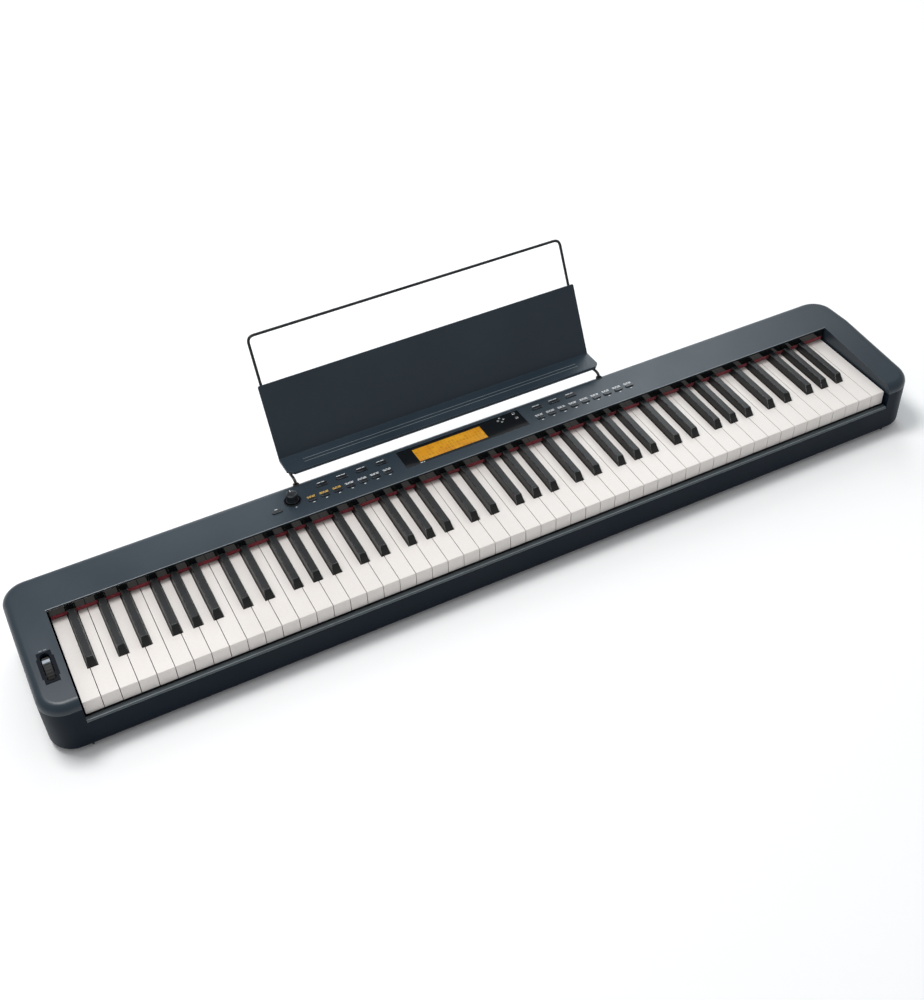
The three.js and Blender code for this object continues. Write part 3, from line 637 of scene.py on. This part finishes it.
upper = piece("upper_casing", shell, slate_top, "case", ["upper_case"])
print("upper casing faces:", len(upper.data.polygons))

# %% [markdown]
# The wall behind the keys is polished, so that it mirrors them. It is a thin strip laid on the casing's
# inner wall. A fine pale strip runs along the crest above it: a painted highlight where the moulding's edge
# would catch the light.

# %% Fascia and painted crest highlight
strip = box_mm(-WELL_HALF + 0.4, WELL_HALF - 0.4, WELL_REAR - 0.9, WELL_REAR - 0.02,
               FASCIA_BOTTOM + 0.3, CREST - 2.2)
soften(strip, 0.25)
piece("key_fascia", strip, piano_gloss, "case")
# A pale grey strip on the crest edge: painted highlight.
bead = box_mm(-WELL_HALF - 1, WELL_HALF + 1, WELL_REAR - 0.35, WELL_REAR + 0.55, CREST - 0.9, CREST + 0.12)
piece("crest_highlight_strip", soften(bead, 0.3), highlight_and_print_grey, "case")

# %% Lower casing
tub = casing_block(0, case_low.z, 0, 7.0)
slice_at(tub, (0, 0, case_high.z), (0, 0, 1), discard=True)
tub = carve(tub, casing_block(WALL, case_low.z + WALL, 0, 0))
side_walls = box_mm(-WELL_HALF - WALL, -WELL_HALF, CASE_FRONT + 1, WELL_REAR, case_low.z + 1, case_high.z)
box_mm(WELL_HALF, WELL_HALF + WALL, CASE_FRONT + 1, WELL_REAR, case_low.z + 1, case_high.z, side_walls)
tub = carve(tub, side_walls, "UNION")
LEDGE_TOP = 52.0
tub = carve(tub, box_mm(-WELL_HALF, WELL_HALF, CASE_FRONT - 50, 5, LEDGE_TOP - 3.4, 200))
SPEAKERS = [node_box("speaker_left"), node_box("speaker_right")]
GRILLE_COUNT = 7
GRILLE_STEP = 7.0
GRILLE_WIDTH = 110.0
GRILLE_SLOT = 3.2
openings = bmesh.new()
for low, high in SPEAKERS:
    for i in range(GRILLE_COUNT):
        level = (low.z + high.z) / 2 - 21 + GRILLE_STEP * i
        spot = at((low.x + high.x) / 2, CASE_REAR, level) @ QUARTER_X
        append(openings, pill_mm(GRILLE_WIDTH, GRILLE_SLOT, -8, 8, spot))
jack_low, jack_high = node_box("jack_board")
SOCKET_Z = 38.0
SOCKETS = {"pedal": (168.0, 3.3), "phones": (190.0, 1.9), "audio": (208.0, 1.9), "power": (256.0, 3.2)}
USB_X = 232.0
BACKWARD = Matrix.Rotation(-pi / 2, 4, "X")


def usb_box(half_x, half_z, y0, y1):
    """A box round the middle of the square socket, between two depths from the back of the case."""
    return box_mm(USB_X - half_x, USB_X + half_x, CASE_REAR + y0, CASE_REAR + y1,
                  SOCKET_Z - half_z, SOCKET_Z + half_z)


for x, bore in SOCKETS.values():
    disc_mm(6.3, 20, at(x, CASE_REAR - 10, SOCKET_Z) @ BACKWARD, openings)
append(openings, usb_box(7.2, 6.7, -10, 10))
cover_low, cover_high = node_box("battery_cover")
box_mm(cover_low.x - 0.3, cover_high.x + 0.3, cover_low.y - 0.3, cover_high.y + 0.3,
       -20, case_low.z + WALL + 1, openings)
tub = carve(tub, openings)
soften(tub, 0.4, angle=50)
piece("lower_casing", tub, navy_case, "case", ["lower_case"])

# %% Ledge in front of the keys
ledge_half = WELL_HALF - 0.2
ledge = box_mm(-ledge_half, ledge_half, CASE_FRONT + 0.1, CASE_FRONT + 7.5, LEDGE_TOP - 3.3, LEDGE_TOP)
front_edge = edges_where(ledge, lambda p: p.y < CASE_FRONT + 1 and p.z > LEDGE_TOP - 1)
round_edges(ledge, front_edge, 2.2, 5)
soften(ledge, 0.3, angle=50)
piece("key_slip_ledge", ledge, ledge_grey, "case")
# A pale grey strip along the ledge's front edge: painted highlight.
bead = box_mm(-ledge_half, ledge_half, CASE_FRONT + 1.1, CASE_FRONT + 1.9, LEDGE_TOP - 0.6, LEDGE_TOP + 0.12)
piece("ledge_bead", soften(bead, 0.25), highlight_and_print_grey, "case")
print("casings done")

# %% [markdown]
# ## Keys
# A white key is a wide head and a narrower lever that passes between the black keys. Its outline is drawn
# from above with a few points, pushed down to its thickness, and rounded along its edges. A black key is a
# lever with a tapered cap whose front leans back. All 88 are separate pieces. The middle octave's keys ride
# on their own bodies, and the others ride on the block that they belong to.

# %% Layout of the keyboard
KEY_COUNT = 88
WHITES_LEFT = 26
PITCH = 23.5
KEY_GAP = 0.9
KEY_TOP = keys_high.z
LEVER_BOTTOM = 62.0
BLACK_FRONT = 50.0
BLACK_REAR = 188.0
BLACK_BOTTOM = 63.2
BLACK_LEAN = 7.5
BLACK_WIDTH = 12.4
BLACK_TOP_WIDTH = 9.8
BLACK_TOP = node_box("black_keys_bass")[1].z
BLACK_SHIFT = {1: -3.3, 3: 3.3, 6: -3.9, 8: 0.0, 10: 3.9}
NOTES = ("c", "cs", "d", "ds", "e", "f", "fs", "g", "gs", "a", "as", "b")


def key_body(octave, note):
    """The body that a key rides on, and the solid that it stands for."""
    if octave == 4:
        return f"key_{note}4", f"key_{note}4"
    side = "bass" if octave < 4 else "treble"
    shade = "black" if note.endswith("s") else "white"
    return f"keys_{side}", f"{shade}_keys_{side}"


layout = []
whites = 0
for number in range(KEY_COUNT):
    pitch = (number + 9) % 12
    left = -WHITES_LEFT * PITCH + whites * PITCH
    layout.append({"note": NOTES[pitch], "octave": (number + 9) // 12, "black": pitch in BLACK_SHIFT,
                   "left": left, "centre": left + BLACK_SHIFT.get(pitch, 0)})
    whites += pitch not in BLACK_SHIFT
print("white keys:", whites, "black keys:", KEY_COUNT - whites)


# %% White keys
def white_key(left, right, tail_left, tail_right):
    """One white key: its outline from above, pushed down, with a front block below the head."""
    bm = bmesh.new()
    notch = BLACK_FRONT - KEY_GAP
    outline = [(left, 0), (right, 0), (right, notch), (tail_right, notch), (tail_right, keys_high.y),
               (tail_left, keys_high.y), (tail_left, notch), (left, notch)]
    corners = [bm.verts.new((x, y, KEY_TOP)) for x, y in outline]
    for i in range(len(outline) - 1, 0, -1):
        if (corners[i].co - corners[i - 1].co).length < 0.01:
            bm.verts.remove(corners.pop(i))
    top = bm.faces.new(corners)
    bmesh.ops.translate(bm, vec=(0, 0, LEVER_BOTTOM - KEY_TOP), verts=extrude(bm, [top]))
    face_out(bm)
    slice_at(bm, (0, notch - 0.5, 0), (0, 1, 0))
    under = [f for f in bm.faces if f.normal.z < -0.9 and f.calc_center_median().y < notch - 0.5]
    down = extrude(bm, under)
    bmesh.ops.delete(bm, geom=under, context="FACES_ONLY")
    bmesh.ops.translate(bm, vec=(0, 0, keys_low.z - LEVER_BOTTOM), verts=down)
    lip = edges_where(bm, lambda p: p.y < 0.01 and p.z > KEY_TOP - 0.1)
    round_edges(bm, lip, 1.1, 4)
    soften(bm, 0.38, angle=40)
    return bm


for n, key in enumerate(layout):
    if key["black"]:
        continue
    before, after = layout[n - 1], layout[(n + 1) % KEY_COUNT]
    left, right = key["left"] + KEY_GAP / 2, key["left"] + PITCH - KEY_GAP / 2
    clear = BLACK_WIDTH / 2 + KEY_GAP
    tail_left = before["centre"] + clear if n > 0 and before["black"] else left
    tail_right = after["centre"] - clear if n < KEY_COUNT - 1 and after["black"] else right
    body, solid = key_body(key["octave"], key["note"])
    shape = white_key(left, right, tail_left, tail_right)
    piece(f"white_{key['note']}{key['octave']}", shape, ivory, body, [solid])


# %% Black keys
def black_key(centre):
    """One black key: a lever whose front part is drawn up into a tapered cap."""
    bm = box_mm(centre - BLACK_WIDTH / 2, centre + BLACK_WIDTH / 2, BLACK_FRONT, BLACK_REAR,
                BLACK_BOTTOM, KEY_TOP + 0.3)
    cap_end = WELL_REAR - 1.3
    slice_at(bm, (0, cap_end, 0), (0, 1, 0))
    crown = [f for f in bm.faces if f.normal.z > 0.9 and f.calc_center_median().y < cap_end]
    raised = extrude(bm, crown)
    bmesh.ops.delete(bm, geom=crown, context="FACES_ONLY")
    for vert in raised:
        vert.co.z = BLACK_TOP
        vert.co.x = centre + (vert.co.x - centre) * BLACK_TOP_WIDTH / BLACK_WIDTH
        if vert.co.y < BLACK_FRONT + 1:
            vert.co.y += BLACK_LEAN
    bm.normal_update()
    crest = edges_where(bm, lambda p: p.z > BLACK_TOP - 0.1)
    round_edges(bm, crest, 1.3, 4)
    soften(bm, 0.45, angle=40)
    return bm


for key in layout:
    if key["black"]:
        body, solid = key_body(key["octave"], key["note"])
        shape = black_key(key["centre"])
        piece(f"black_{key['note']}{key['octave']}", shape, ebony, body, [solid])
made = [o for o in scene.objects if o.name.startswith(("white_", "black_")) and o.modifiers]
print("keys made:", len(made))

# %% [markdown]
# A strip of red felt closes the gap between the keys and the polished wall. It waves a little along its
# length and its lower edge is uneven, because it is cut from a sheet and glued by hand.

# %% Felt strip
strip = box_mm(felt_low.x, felt_high.x, felt_low.y, felt_high.y, felt_low.z, felt_high.z)
long_edges = [e for e in strip.edges if abs(e.verts[0].co.x - e.verts[1].co.x) > 100]
STRIP_CUTS = 240
bmesh.ops.subdivide_edges(strip, edges=long_edges, cuts=STRIP_CUTS, use_grid_fill=True)
for vert in strip.verts:
    vert.co.y += 0.25 * sin(vert.co.x * 0.21) * sin(vert.co.x * 0.047)
    if vert.co.z < felt_low.z + 0.1:
        vert.co.z += 0.2 * sin(vert.co.x * 0.33)
soften(strip, 0.5)
piece("red_felt_strip", strip, red_felt, "case", ["name_felt"])
print("felt strip made")

# %% [markdown]
# ## Controls
# Each cap is a pill with a rounded crown. The caps of a row are one piece with the rail that carries them,
# because they move together. The volume knob is turned: half its profile is spun round its axis, and its
# grip flutes are made by moving every second pair of columns of the skirt inwards.

# %% Button caps
def cap(width, spot, bm):
    """A button cap with a crowned top, standing on its rail."""
    block = pill_mm(width, CAP_DEPTH, -7, CAP_RISE, Matrix.Identity(4))
    crown = edges_where(block, lambda p: p.z > CAP_RISE - 0.01)
    round_edges(block, crown, 0.7, 4)
    move(block, Matrix.Translation(spot))
    append(bm, block)


for row, (count, width) in ROWS.items():
    bm = bmesh.new()
    spots = cap_places(row)
    for spot in spots:
        cap(width, spot, bm)
    first, last = spots[0], spots[-1]
    box_mm(first.x - width / 2, last.x + width / 2, first.y - 2.4, first.y + 2.4, -9, -6.4, bm)
    move(bm, PANEL)
    piece(row + "_caps", bm, control_black, row, [row])
bm = bmesh.new()
cap(POWER_WIDTH, Vector((power_spot.x, power_spot.y, 0)), bm)
move(bm, PANEL)
piece("power_cap", bm, control_black, "power_button", ["power_button"])


# %% Volume knob
def spun(profile, steps=64):
    """A profile of (radius, height) points, closed or from axis to axis, spun round Z."""
    bm = bmesh.new()
    verts = [bm.verts.new((r, 0, z)) for r, z in profile]
    edges = [bm.edges.new(pair) for pair in zip(verts, verts[1:])]
    bmesh.ops.spin(bm, geom=verts + edges, cent=(0, 0, 0), axis=(0, 0, 1), angle=2 * pi, steps=steps,
                   use_merge=True, use_duplicate=False)
    bmesh.ops.remove_doubles(bm, verts=bm.verts, dist=0.001)
    face_out(bm)
    return bm


def cut_columns(bm, columns, factor, test):
    """Moves every second pair of columns of a spun shape inwards, where the test on a point holds."""
    for vert in bm.verts:
        column = (atan2(vert.co.y, vert.co.x) / (2 * pi) * columns) % 4
        if column >= 2 and test(vert.co):
            vert.co.x *= factor
            vert.co.y *= factor


KNOB_RADIUS = 9.0
KNOB_RISE = 13.0
KNOB_COLUMNS = 96
FLUTE_CUT = 0.965
knob = spun([(0, -4), (8.3, -4), (8.6, 0.6), (KNOB_RADIUS, 1.0), (KNOB_RADIUS, 2.6), (8.5, 3.0), (8.1, 11.6),
             (7.5, 12.6), (6.6, KNOB_RISE), (5.9, 12.7), (5.2, 12.35), (0, 12.2)], steps=KNOB_COLUMNS)
cut_columns(knob, KNOB_COLUMNS, FLUTE_CUT, lambda p: 3 < p.z < 12.4 and p.xy.length > 7)
append(knob, disc_mm(5, 5, at(0, 0, -8), sides=24))
seat = panel_at(knob_spot.x, knob_spot.y)
move(knob, seat)
piece("volume_knob_cap", knob, control_black, "volume_knob", ["volume_knob"], smooth=50)
pointer = pill_mm(3.6, 0.9, 12.3, 12.9, at(0, 6.2, 0) @ QUARTER_Z)
move(pointer, seat)
piece("volume_knob_mark", pointer, legend_white, "volume_knob")
ring = spun([(10.25, -1.0), (12.4, -1.0), (12.4, 0.6), (11.8, 1.3), (10.9, 1.3), (10.25, 0.6),
             (10.25, -1.0)])
move(ring, seat)
piece("knob_surround", ring, piano_gloss, "case")
print("controls made")

# %% [markdown]
# ## Display
# The window is a slab of polished black with an opening for the lit panel. Beside the panel are six round
# silver keys for entering a value: four small ones in a cross and two larger ones.

# %% Window, lit panel and entry keys
LCD_X = -19.0
LCD_WIDTH, LCD_DEPTH = 109.0, 29.4


def panel_box(x0, x1, v0, v1, w0, w1, bm=None):
    """A box in the panel's frame."""
    block = box_mm(x0, x1, v0, v1, w0, w1)
    move(block, PANEL)
    if bm is None:
        return block
    append(bm, block)
    return bm


PAD_X, PAD_V, PAD_STEP = 68.0, 10.0, 4.4
STEPS = ((-PAD_STEP, 0), (PAD_STEP, 0), (0, -PAD_STEP), (0, PAD_STEP))
PADS = [(PAD_X + dx, PAD_V + dv) for dx, dv in STEPS]
ROUNDS = [(PAD_X + 23, PAD_V + 4), (PAD_X + 23, PAD_V - 7)]
ENTRY = [(x, v, 1.8) for x, v in PADS] + [(x, v, 2.6) for x, v in ROUNDS]
middle_v = window_spot.y
window = panel_box(window_spot.x - WINDOW_HALF, window_spot.x + WINDOW_HALF,
                   middle_v - WINDOW_DEPTH / 2, middle_v + WINDOW_DEPTH / 2, -3, -0.05)
holes = panel_box(LCD_X - LCD_WIDTH / 2, LCD_X + LCD_WIDTH / 2,
                  middle_v - LCD_DEPTH / 2, middle_v + LCD_DEPTH / 2, -6, 6)
for x, v, radius in ENTRY:
    disc_mm(radius + 0.3, 12, panel_at(x, middle_v + v, -6), holes, sides=28)
window = carve(window, holes)
soften(window, 0.35, angle=50)
piece("display_glass", window, piano_gloss, "case", ["display_window"])
lit = panel_box(LCD_X - LCD_WIDTH / 2 + 0.3, LCD_X + LCD_WIDTH / 2 - 0.3,
                middle_v - LCD_DEPTH / 2 + 0.3, middle_v + LCD_DEPTH / 2 - 0.3, -7, -0.7)
soften(lit, 0.6)
piece("lit_display", lit, amber_glow, "case", ["lcd_module"])
entry = panel_box(PAD_X - PAD_STEP, PAD_X + 24, middle_v + PAD_V - 8, middle_v + PAD_V + PAD_STEP, -9, -6.4)
for x, v, radius in ENTRY:
    button = disc_mm(radius, 8, at(x, middle_v + v, -6.9), sides=32)
    crown = edges_where(button, lambda p: p.z > 1.0)
    round_edges(button, crown, 0.5, 4)
    move(button, PANEL)
    append(entry, button)
piece("entry_keys", entry, silver_button, "entry_buttons", ["entry_buttons"])

# %% [markdown]
# ## Legends
# Short raised dashes stand for the printing above and below the controls. They spell nothing.

# %% Dashes beside the controls
white_marks, amber_marks = bmesh.new(), bmesh.new()


def dashes(spot, lift, lengths, bm):
    """A row of short dashes centred on a control, lift away from it up the panel."""
    x = spot.x - (sum(lengths) + 1.0 * (len(lengths) - 1)) / 2
    for length in lengths:
        panel_box(x, x + length, spot.y + lift, spot.y + lift + 1.0, -0.05, 0.05, bm)
        x += length + 1.0


for row, (count, width) in ROWS.items():
    for i, spot in enumerate(cap_places(row)):
        amber = row == "left_lower_buttons" and i < 3
        dashes(spot, 5.0, [5 + i % 3, 4 + (i + 1) % 3], amber_marks if amber else white_marks)
        if width < 15:
            dashes(spot, 7.2, [3 + (i + 2) % 2, 3, 4], amber_marks if amber else white_marks)
            dashes(spot, -6.2, [3.0], white_marks)
dashes(power_spot, 5.0, [4], white_marks)
dashes(knob_spot, -15.5, [2], white_marks)
dashes(Vector((LCD_X - 52, middle_v - 18.4, 0)), 0, [4, 2], white_marks)
piece("panel_legends_white", white_marks, legend_white, "case")
piece("panel_legends_amber", amber_marks, legend_amber, "case")

# %% [markdown]
# ## Pitch wheel
# The wheel stands on edge in a slot on the left arm. Its rim has fine ribs, a notch and a pale grip pad. A
# thin raised bezel frames the slot. Its two boxes are joined before the slot is cut, so no inner wall is
# left in it.

# %% Wheel and bezel
SHOULDER = WHEEL_RADIUS - 0.5
WHEEL_COLUMNS = 144
RIB_CUT = 0.982
rim = [(3.0, -5.0), (SHOULDER - 0.9, -5.0), (SHOULDER, -4.2), (WHEEL_RADIUS, -3.2), (WHEEL_RADIUS, 3.2),
       (SHOULDER, 4.2), (SHOULDER - 0.9, 5.0), (3.0, 5.0), (3.0, -5.0)]
wheel = spun(rim, steps=WHEEL_COLUMNS)
cut_columns(wheel, WHEEL_COLUMNS, RIB_CUT, lambda p: p.xy.length > WHEEL_RADIUS - 0.2)
wheel = carve(wheel, disc_mm(3.4, 14, at(0, WHEEL_RADIUS + 1.7, -7), sides=24))
move(wheel, at(*WHEEL) @ QUARTER_Z @ QUARTER_X)
face_out(wheel)
piece("pitch_wheel_rim", wheel, grip_rubber, "pitch_wheel", ["pitch_wheel"], smooth=50)
ARM_SLOPE = atan2(CREST - ARM_FRONT, WELL_REAR - CASE_FRONT)
arm_height = ARM_FRONT + (WHEEL.y - CASE_FRONT) * (CREST - ARM_FRONT) / (WELL_REAR - CASE_FRONT)
ARM = at(WHEEL.x, WHEEL.y, arm_height) @ Matrix.Rotation(ARM_SLOPE, 4, "X")
BEZEL_HALF = 9.2
FLANGE_HALF = 11.0
half_slot = SLOT_LENGTH / 2
bezel = box_mm(-BEZEL_HALF, BEZEL_HALF, -half_slot - 3, half_slot + 3, -1.5, 0.9)
flanges = box_mm(-FLANGE_HALF, FLANGE_HALF, -half_slot + 6, half_slot - 6, -1.4, 0.6)
bezel = carve(bezel, flanges, "UNION")
bezel = carve(bezel, pill_mm(SLOT_LENGTH, SLOT_WIDTH + 0.2, -5, 5, QUARTER_Z))
soften(bezel, 0.4, angle=50)
move(bezel, ARM)
piece("wheel_bezel", bezel, bezel_navy, "case")
GRIP_TURN = radians(-10)
grip = box_mm(-4.8, 4.8, -3.0, 3.0, WHEEL_RADIUS - 2.2, WHEEL_RADIUS + 0.35)
soften(grip, 0.5)
move(grip, at(*WHEEL) @ Matrix.Rotation(GRIP_TURN, 4, "X"))
piece("pitch_wheel_grip", grip, wheel_grey, "pitch_wheel")
marks = bmesh.new()
for x0, x1 in ((-5.0, -0.8), (0.8, 5.0)):
    box_mm(x0, x1, half_slot + 5.5, half_slot + 6.5, -0.3, 0.05, marks)
move(marks, ARM)
piece("wheel_marks", marks, highlight_and_print_grey, "case")

# %% [markdown]
# ## Music rest
# The plate and its shelf are one bent section, so the section is drawn from the side and drawn out along
# the rest. Two ridges on the shelf stop pages from sliding. The wire is a curve with a round section,
# turned into a mesh once its bends are right.

# %% Plate and shelf
SHELF = 35.0
SHELF_DROP = sin(REST_LEAN)
LIP_BACK = SHELF - 2.0
LIP_RISE = 4.0
CORNER_CUT = 26.0
RIDGE_MARGIN = 30.0
HALF_PLATE = rest_high.x


def drop(z):
    """How far the shelf has fallen below a right angle, at a distance z from the plate."""
    return -z * SHELF_DROP


section = [(-PLATE_THICK, -PLATE_THICK), (PLATE_HEIGHT, -PLATE_THICK), (PLATE_HEIGHT, 0), (PLATE_THICK, 0),
           (PLATE_THICK + drop(LIP_BACK), LIP_BACK), (LIP_RISE + drop(SHELF), LIP_BACK),
           (LIP_RISE + drop(SHELF), SHELF), (drop(SHELF), SHELF)]
plate = bmesh.new()
side = plate.faces.new([plate.verts.new((-HALF_PLATE, y, z)) for y, z in section])
bmesh.ops.translate(plate, vec=(2 * HALF_PLATE, 0, 0), verts=extrude(plate, [side]))
face_out(plate)
for end in (-1, 1):
    slice_at(plate, (end * HALF_PLATE, 0, CORNER_CUT), (end, 0, 1), discard=True)
upright = [e for e in plate.edges if all(v.co.y > PLATE_HEIGHT - 0.1 for v in e.verts)
           and abs(e.verts[0].co.x - e.verts[1].co.x) < 0.1]
round_edges(plate, upright, 2.2, 6)
soften(plate, 0.6, angle=40, segments=3)
move(plate, REST)
piece("rest_plate", plate, slate_top, "music_rest", ["music_rest_panel"])
# The ridges are real, but their pale grey is a painted highlight along them.
ridges = bmesh.new()
for z in (14.0, 20.0):
    half_ridge = HALF_PLATE - RIDGE_MARGIN
    ridge = box_mm(-half_ridge, half_ridge, 0, 0.7, z - 0.35, z + 0.35)
    move(ridge, at(0, PLATE_THICK + drop(z) - 0.3, 0))
    append(ridges, soften(ridge, 0.2))
move(ridges, REST)
piece("rest_ridges", ridges, highlight_and_print_grey, "music_rest")

# %% Wire
BEND = 10.0
WIRE_BEHIND = PLATE_THICK + WIRE_RADIUS + 0.6
WIRE_DROP = 9.6
WIRE_ABOVE = 69.0
foot = REST @ Vector((0, -WIRE_DROP, -WIRE_BEHIND))
crown = REST @ Vector((0, PLATE_HEIGHT + WIRE_ABOVE, -WIRE_BEHIND))
leg = [Vector((0, LEG_Y, leg_low.z + 0.05)), Vector((0, LEG_Y, REAR_TOP + 7)), foot, crown]
corners = [Vector((-LEG_X, p.y, p.z)) for p in leg] + [Vector((LEG_X, p.y, p.z)) for p in reversed(leg)]


def bent(points, radius, steps=8):
    """The points with each corner replaced by a smooth bend."""
    route = [points[0]]
    for before, corner, after in zip(points, points[1:], points[2:]):
        start = corner + (before - corner).normalized() * radius
        end = corner + (after - corner).normalized() * radius
        for i in range(steps + 1):
            t = i / steps
            route.append((1 - t) ** 2 * start + 2 * t * (1 - t) * corner + t * t * end)
    return route + [points[-1]]


wire_curve = bpy.data.curves.new("wire", "CURVE")
wire_curve.dimensions = "3D"
wire_curve.bevel_depth = WIRE_RADIUS
wire_curve.bevel_resolution = 6
wire_curve.use_fill_caps = True
route = bent(corners, BEND)
spline = wire_curve.splines.new("POLY")
spline.points.add(len(route) - 1)
for point, spot in zip(spline.points, route):
    point.co = (*spot, 1)
wire_holder = bpy.data.objects.new("wire", wire_curve)
scene.collection.objects.link(wire_holder)
wire = bmesh.new()
wire.from_mesh(bpy.data.meshes.new_from_object(wire_holder))
bpy.data.objects.remove(wire_holder)
bmesh.ops.remove_doubles(wire, verts=wire.verts, dist=0.001)
face_out(wire)
piece("rest_wire", wire, rest_wire_paint, "music_rest", ["music_rest_wire"], smooth=60)
grommets = bmesh.new()
bore = WIRE_RADIUS + 0.25
rise = REAR_TOP + (CREST - REAR_TOP) * (CASE_REAR - LEG_Y) / (CASE_REAR - WELL_REAR)
for side_x in (-LEG_X, LEG_X):
    collar = spun([(bore, -1.0), (4.6, -1.0), (4.6, 0.3), (4.0, 0.9), (bore + 0.4, 0.9), (bore, 0.5),
                   (bore, -1.0)], steps=40)
    move(collar, at(side_x, LEG_Y, rise))
    append(grommets, collar)
piece("wire_grommets", grommets, grip_rubber, "case")
print("music rest made")

# %% [markdown]
# ## Back and underside
# The sockets are black barrels with a plated collar, set in the back wall. The speakers sit behind slots.
# Four rubber feet, a battery cover with a thumb catch and two rows of screws finish the underside.

# %% Sockets
sockets = bmesh.new()
collars = bmesh.new()
for x, bore in SOCKETS.values():
    barrel = spun([(bore, 20), (6.0, 20), (6.0, 0.8), (5.6, 0.4), (bore + 0.9, 0.4), (bore, 1.4),
                   (bore, 20)], steps=40)
    inner_edge, outer_edge = bore + 1.0, bore + 2.1
    collar = spun([(inner_edge, 0.35), (outer_edge, 0.35), (outer_edge, 0.0), (inner_edge, 0.0),
                   (inner_edge, 0.35)], steps=40)
    for shape, group in ((barrel, sockets), (collar, collars)):
        move(shape, at(x, CASE_REAR - 0.4, SOCKET_Z) @ QUARTER_X)
        append(group, shape)
usb = carve(usb_box(6.5, 6.0, -18, -0.8), usb_box(4.6, 4.2, -14, 5))
append(collars, soften(usb, 0.3))
append(sockets, usb_box(1.6, 1.2, -14.5, -4))
for shape in (sockets, collars):
    face_out(shape)
piece("socket_barrels", sockets, control_black, "case", ["jack_board"])
piece("socket_collars", collars, plated_metal, "case")
board = box_mm(jack_low.x, jack_high.x, jack_low.y, CASE_REAR - 5, jack_low.z, jack_low.z + 1.6)
piece("socket_board", soften(board, 0.2), circuit_green, "case")

# %% Feet
feet = {name: node_box(name) for name in frame["nodes"] if name.startswith("foot_")}
for name, (low, high) in feet.items():
    r = (high.x - low.x) / 2
    foot_bm = spun([(0, 0), (r - 2.4, 0), (r - 0.8, 0.5), (r, 1.8), (r, high.z), (0, high.z)], steps=48)
    move(foot_bm, at((low.x + high.x) / 2, (low.y + high.y) / 2, 0))
    piece(name + "_rubber", foot_bm, grip_rubber, "case", [name])

# %% Battery cover and screws
lid = box_mm(cover_low.x, cover_high.x, cover_low.y, cover_high.y, case_low.z, case_low.z + 2.6)
lid = carve(lid, box_mm(-13, 13, cover_low.y + 3, cover_low.y + 8.5, -5, case_low.z + 1.2))
TOOTH_STEP = 1.2
for i in range(4):
    front = cover_low.y + 3.6 + i * TOOTH_STEP
    tooth = box_mm(-9, 9, front, front + TOOTH_STEP / 2, case_low.z + 0.3, case_low.z + 1.6)
    append(lid, soften(tooth, 0.15))
soften(lid, 0.3, angle=50)
piece("battery_lid", lid, navy_case, "battery_cover", ["battery_cover"])
screws = bmesh.new()
SCREW_STEP = 180.0
for i in range(7):
    for y in (30.0, 170.0):
        head = spun([(0, -0.6), (2.4, -0.6), (3.0, -0.1), (3.0, 0.6), (0, 0.6)], steps=24)
        head = carve(head, box_mm(-1.8, 1.8, -0.35, 0.35, -2, -0.2))
        move(head, at((i - 3) * SCREW_STEP, y, case_low.z))
        append(screws, head)
piece("case_screws", screws, weight_steel, "case")

# %% [markdown]
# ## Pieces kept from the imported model
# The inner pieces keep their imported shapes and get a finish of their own. Each is looked up by its name.

# %% Finishes for the inner pieces
inner = {"key_chassis": chassis_grey, "wheel_bracket": chassis_grey, "contact_board": circuit_green,
         "panel_board": circuit_green, "main_board": circuit_green, "speaker_left": cone_paper,
         "speaker_right": cone_paper, "key_stop_felt": red_felt, "hammer_rest_felt": red_felt}
hammers = [name for name in frame["nodes"] if name.startswith("hammer") and "felt" not in name]
inner.update({name: weight_steel for name in hammers})
for name, material in inner.items():
    solid = frame["nodes"][name]
    solid.data.materials.clear()
    solid.data.materials.append(material)
print("inner pieces finished:", len(inner))

# %% Last update of the scene
bpy.context.view_layer.update()
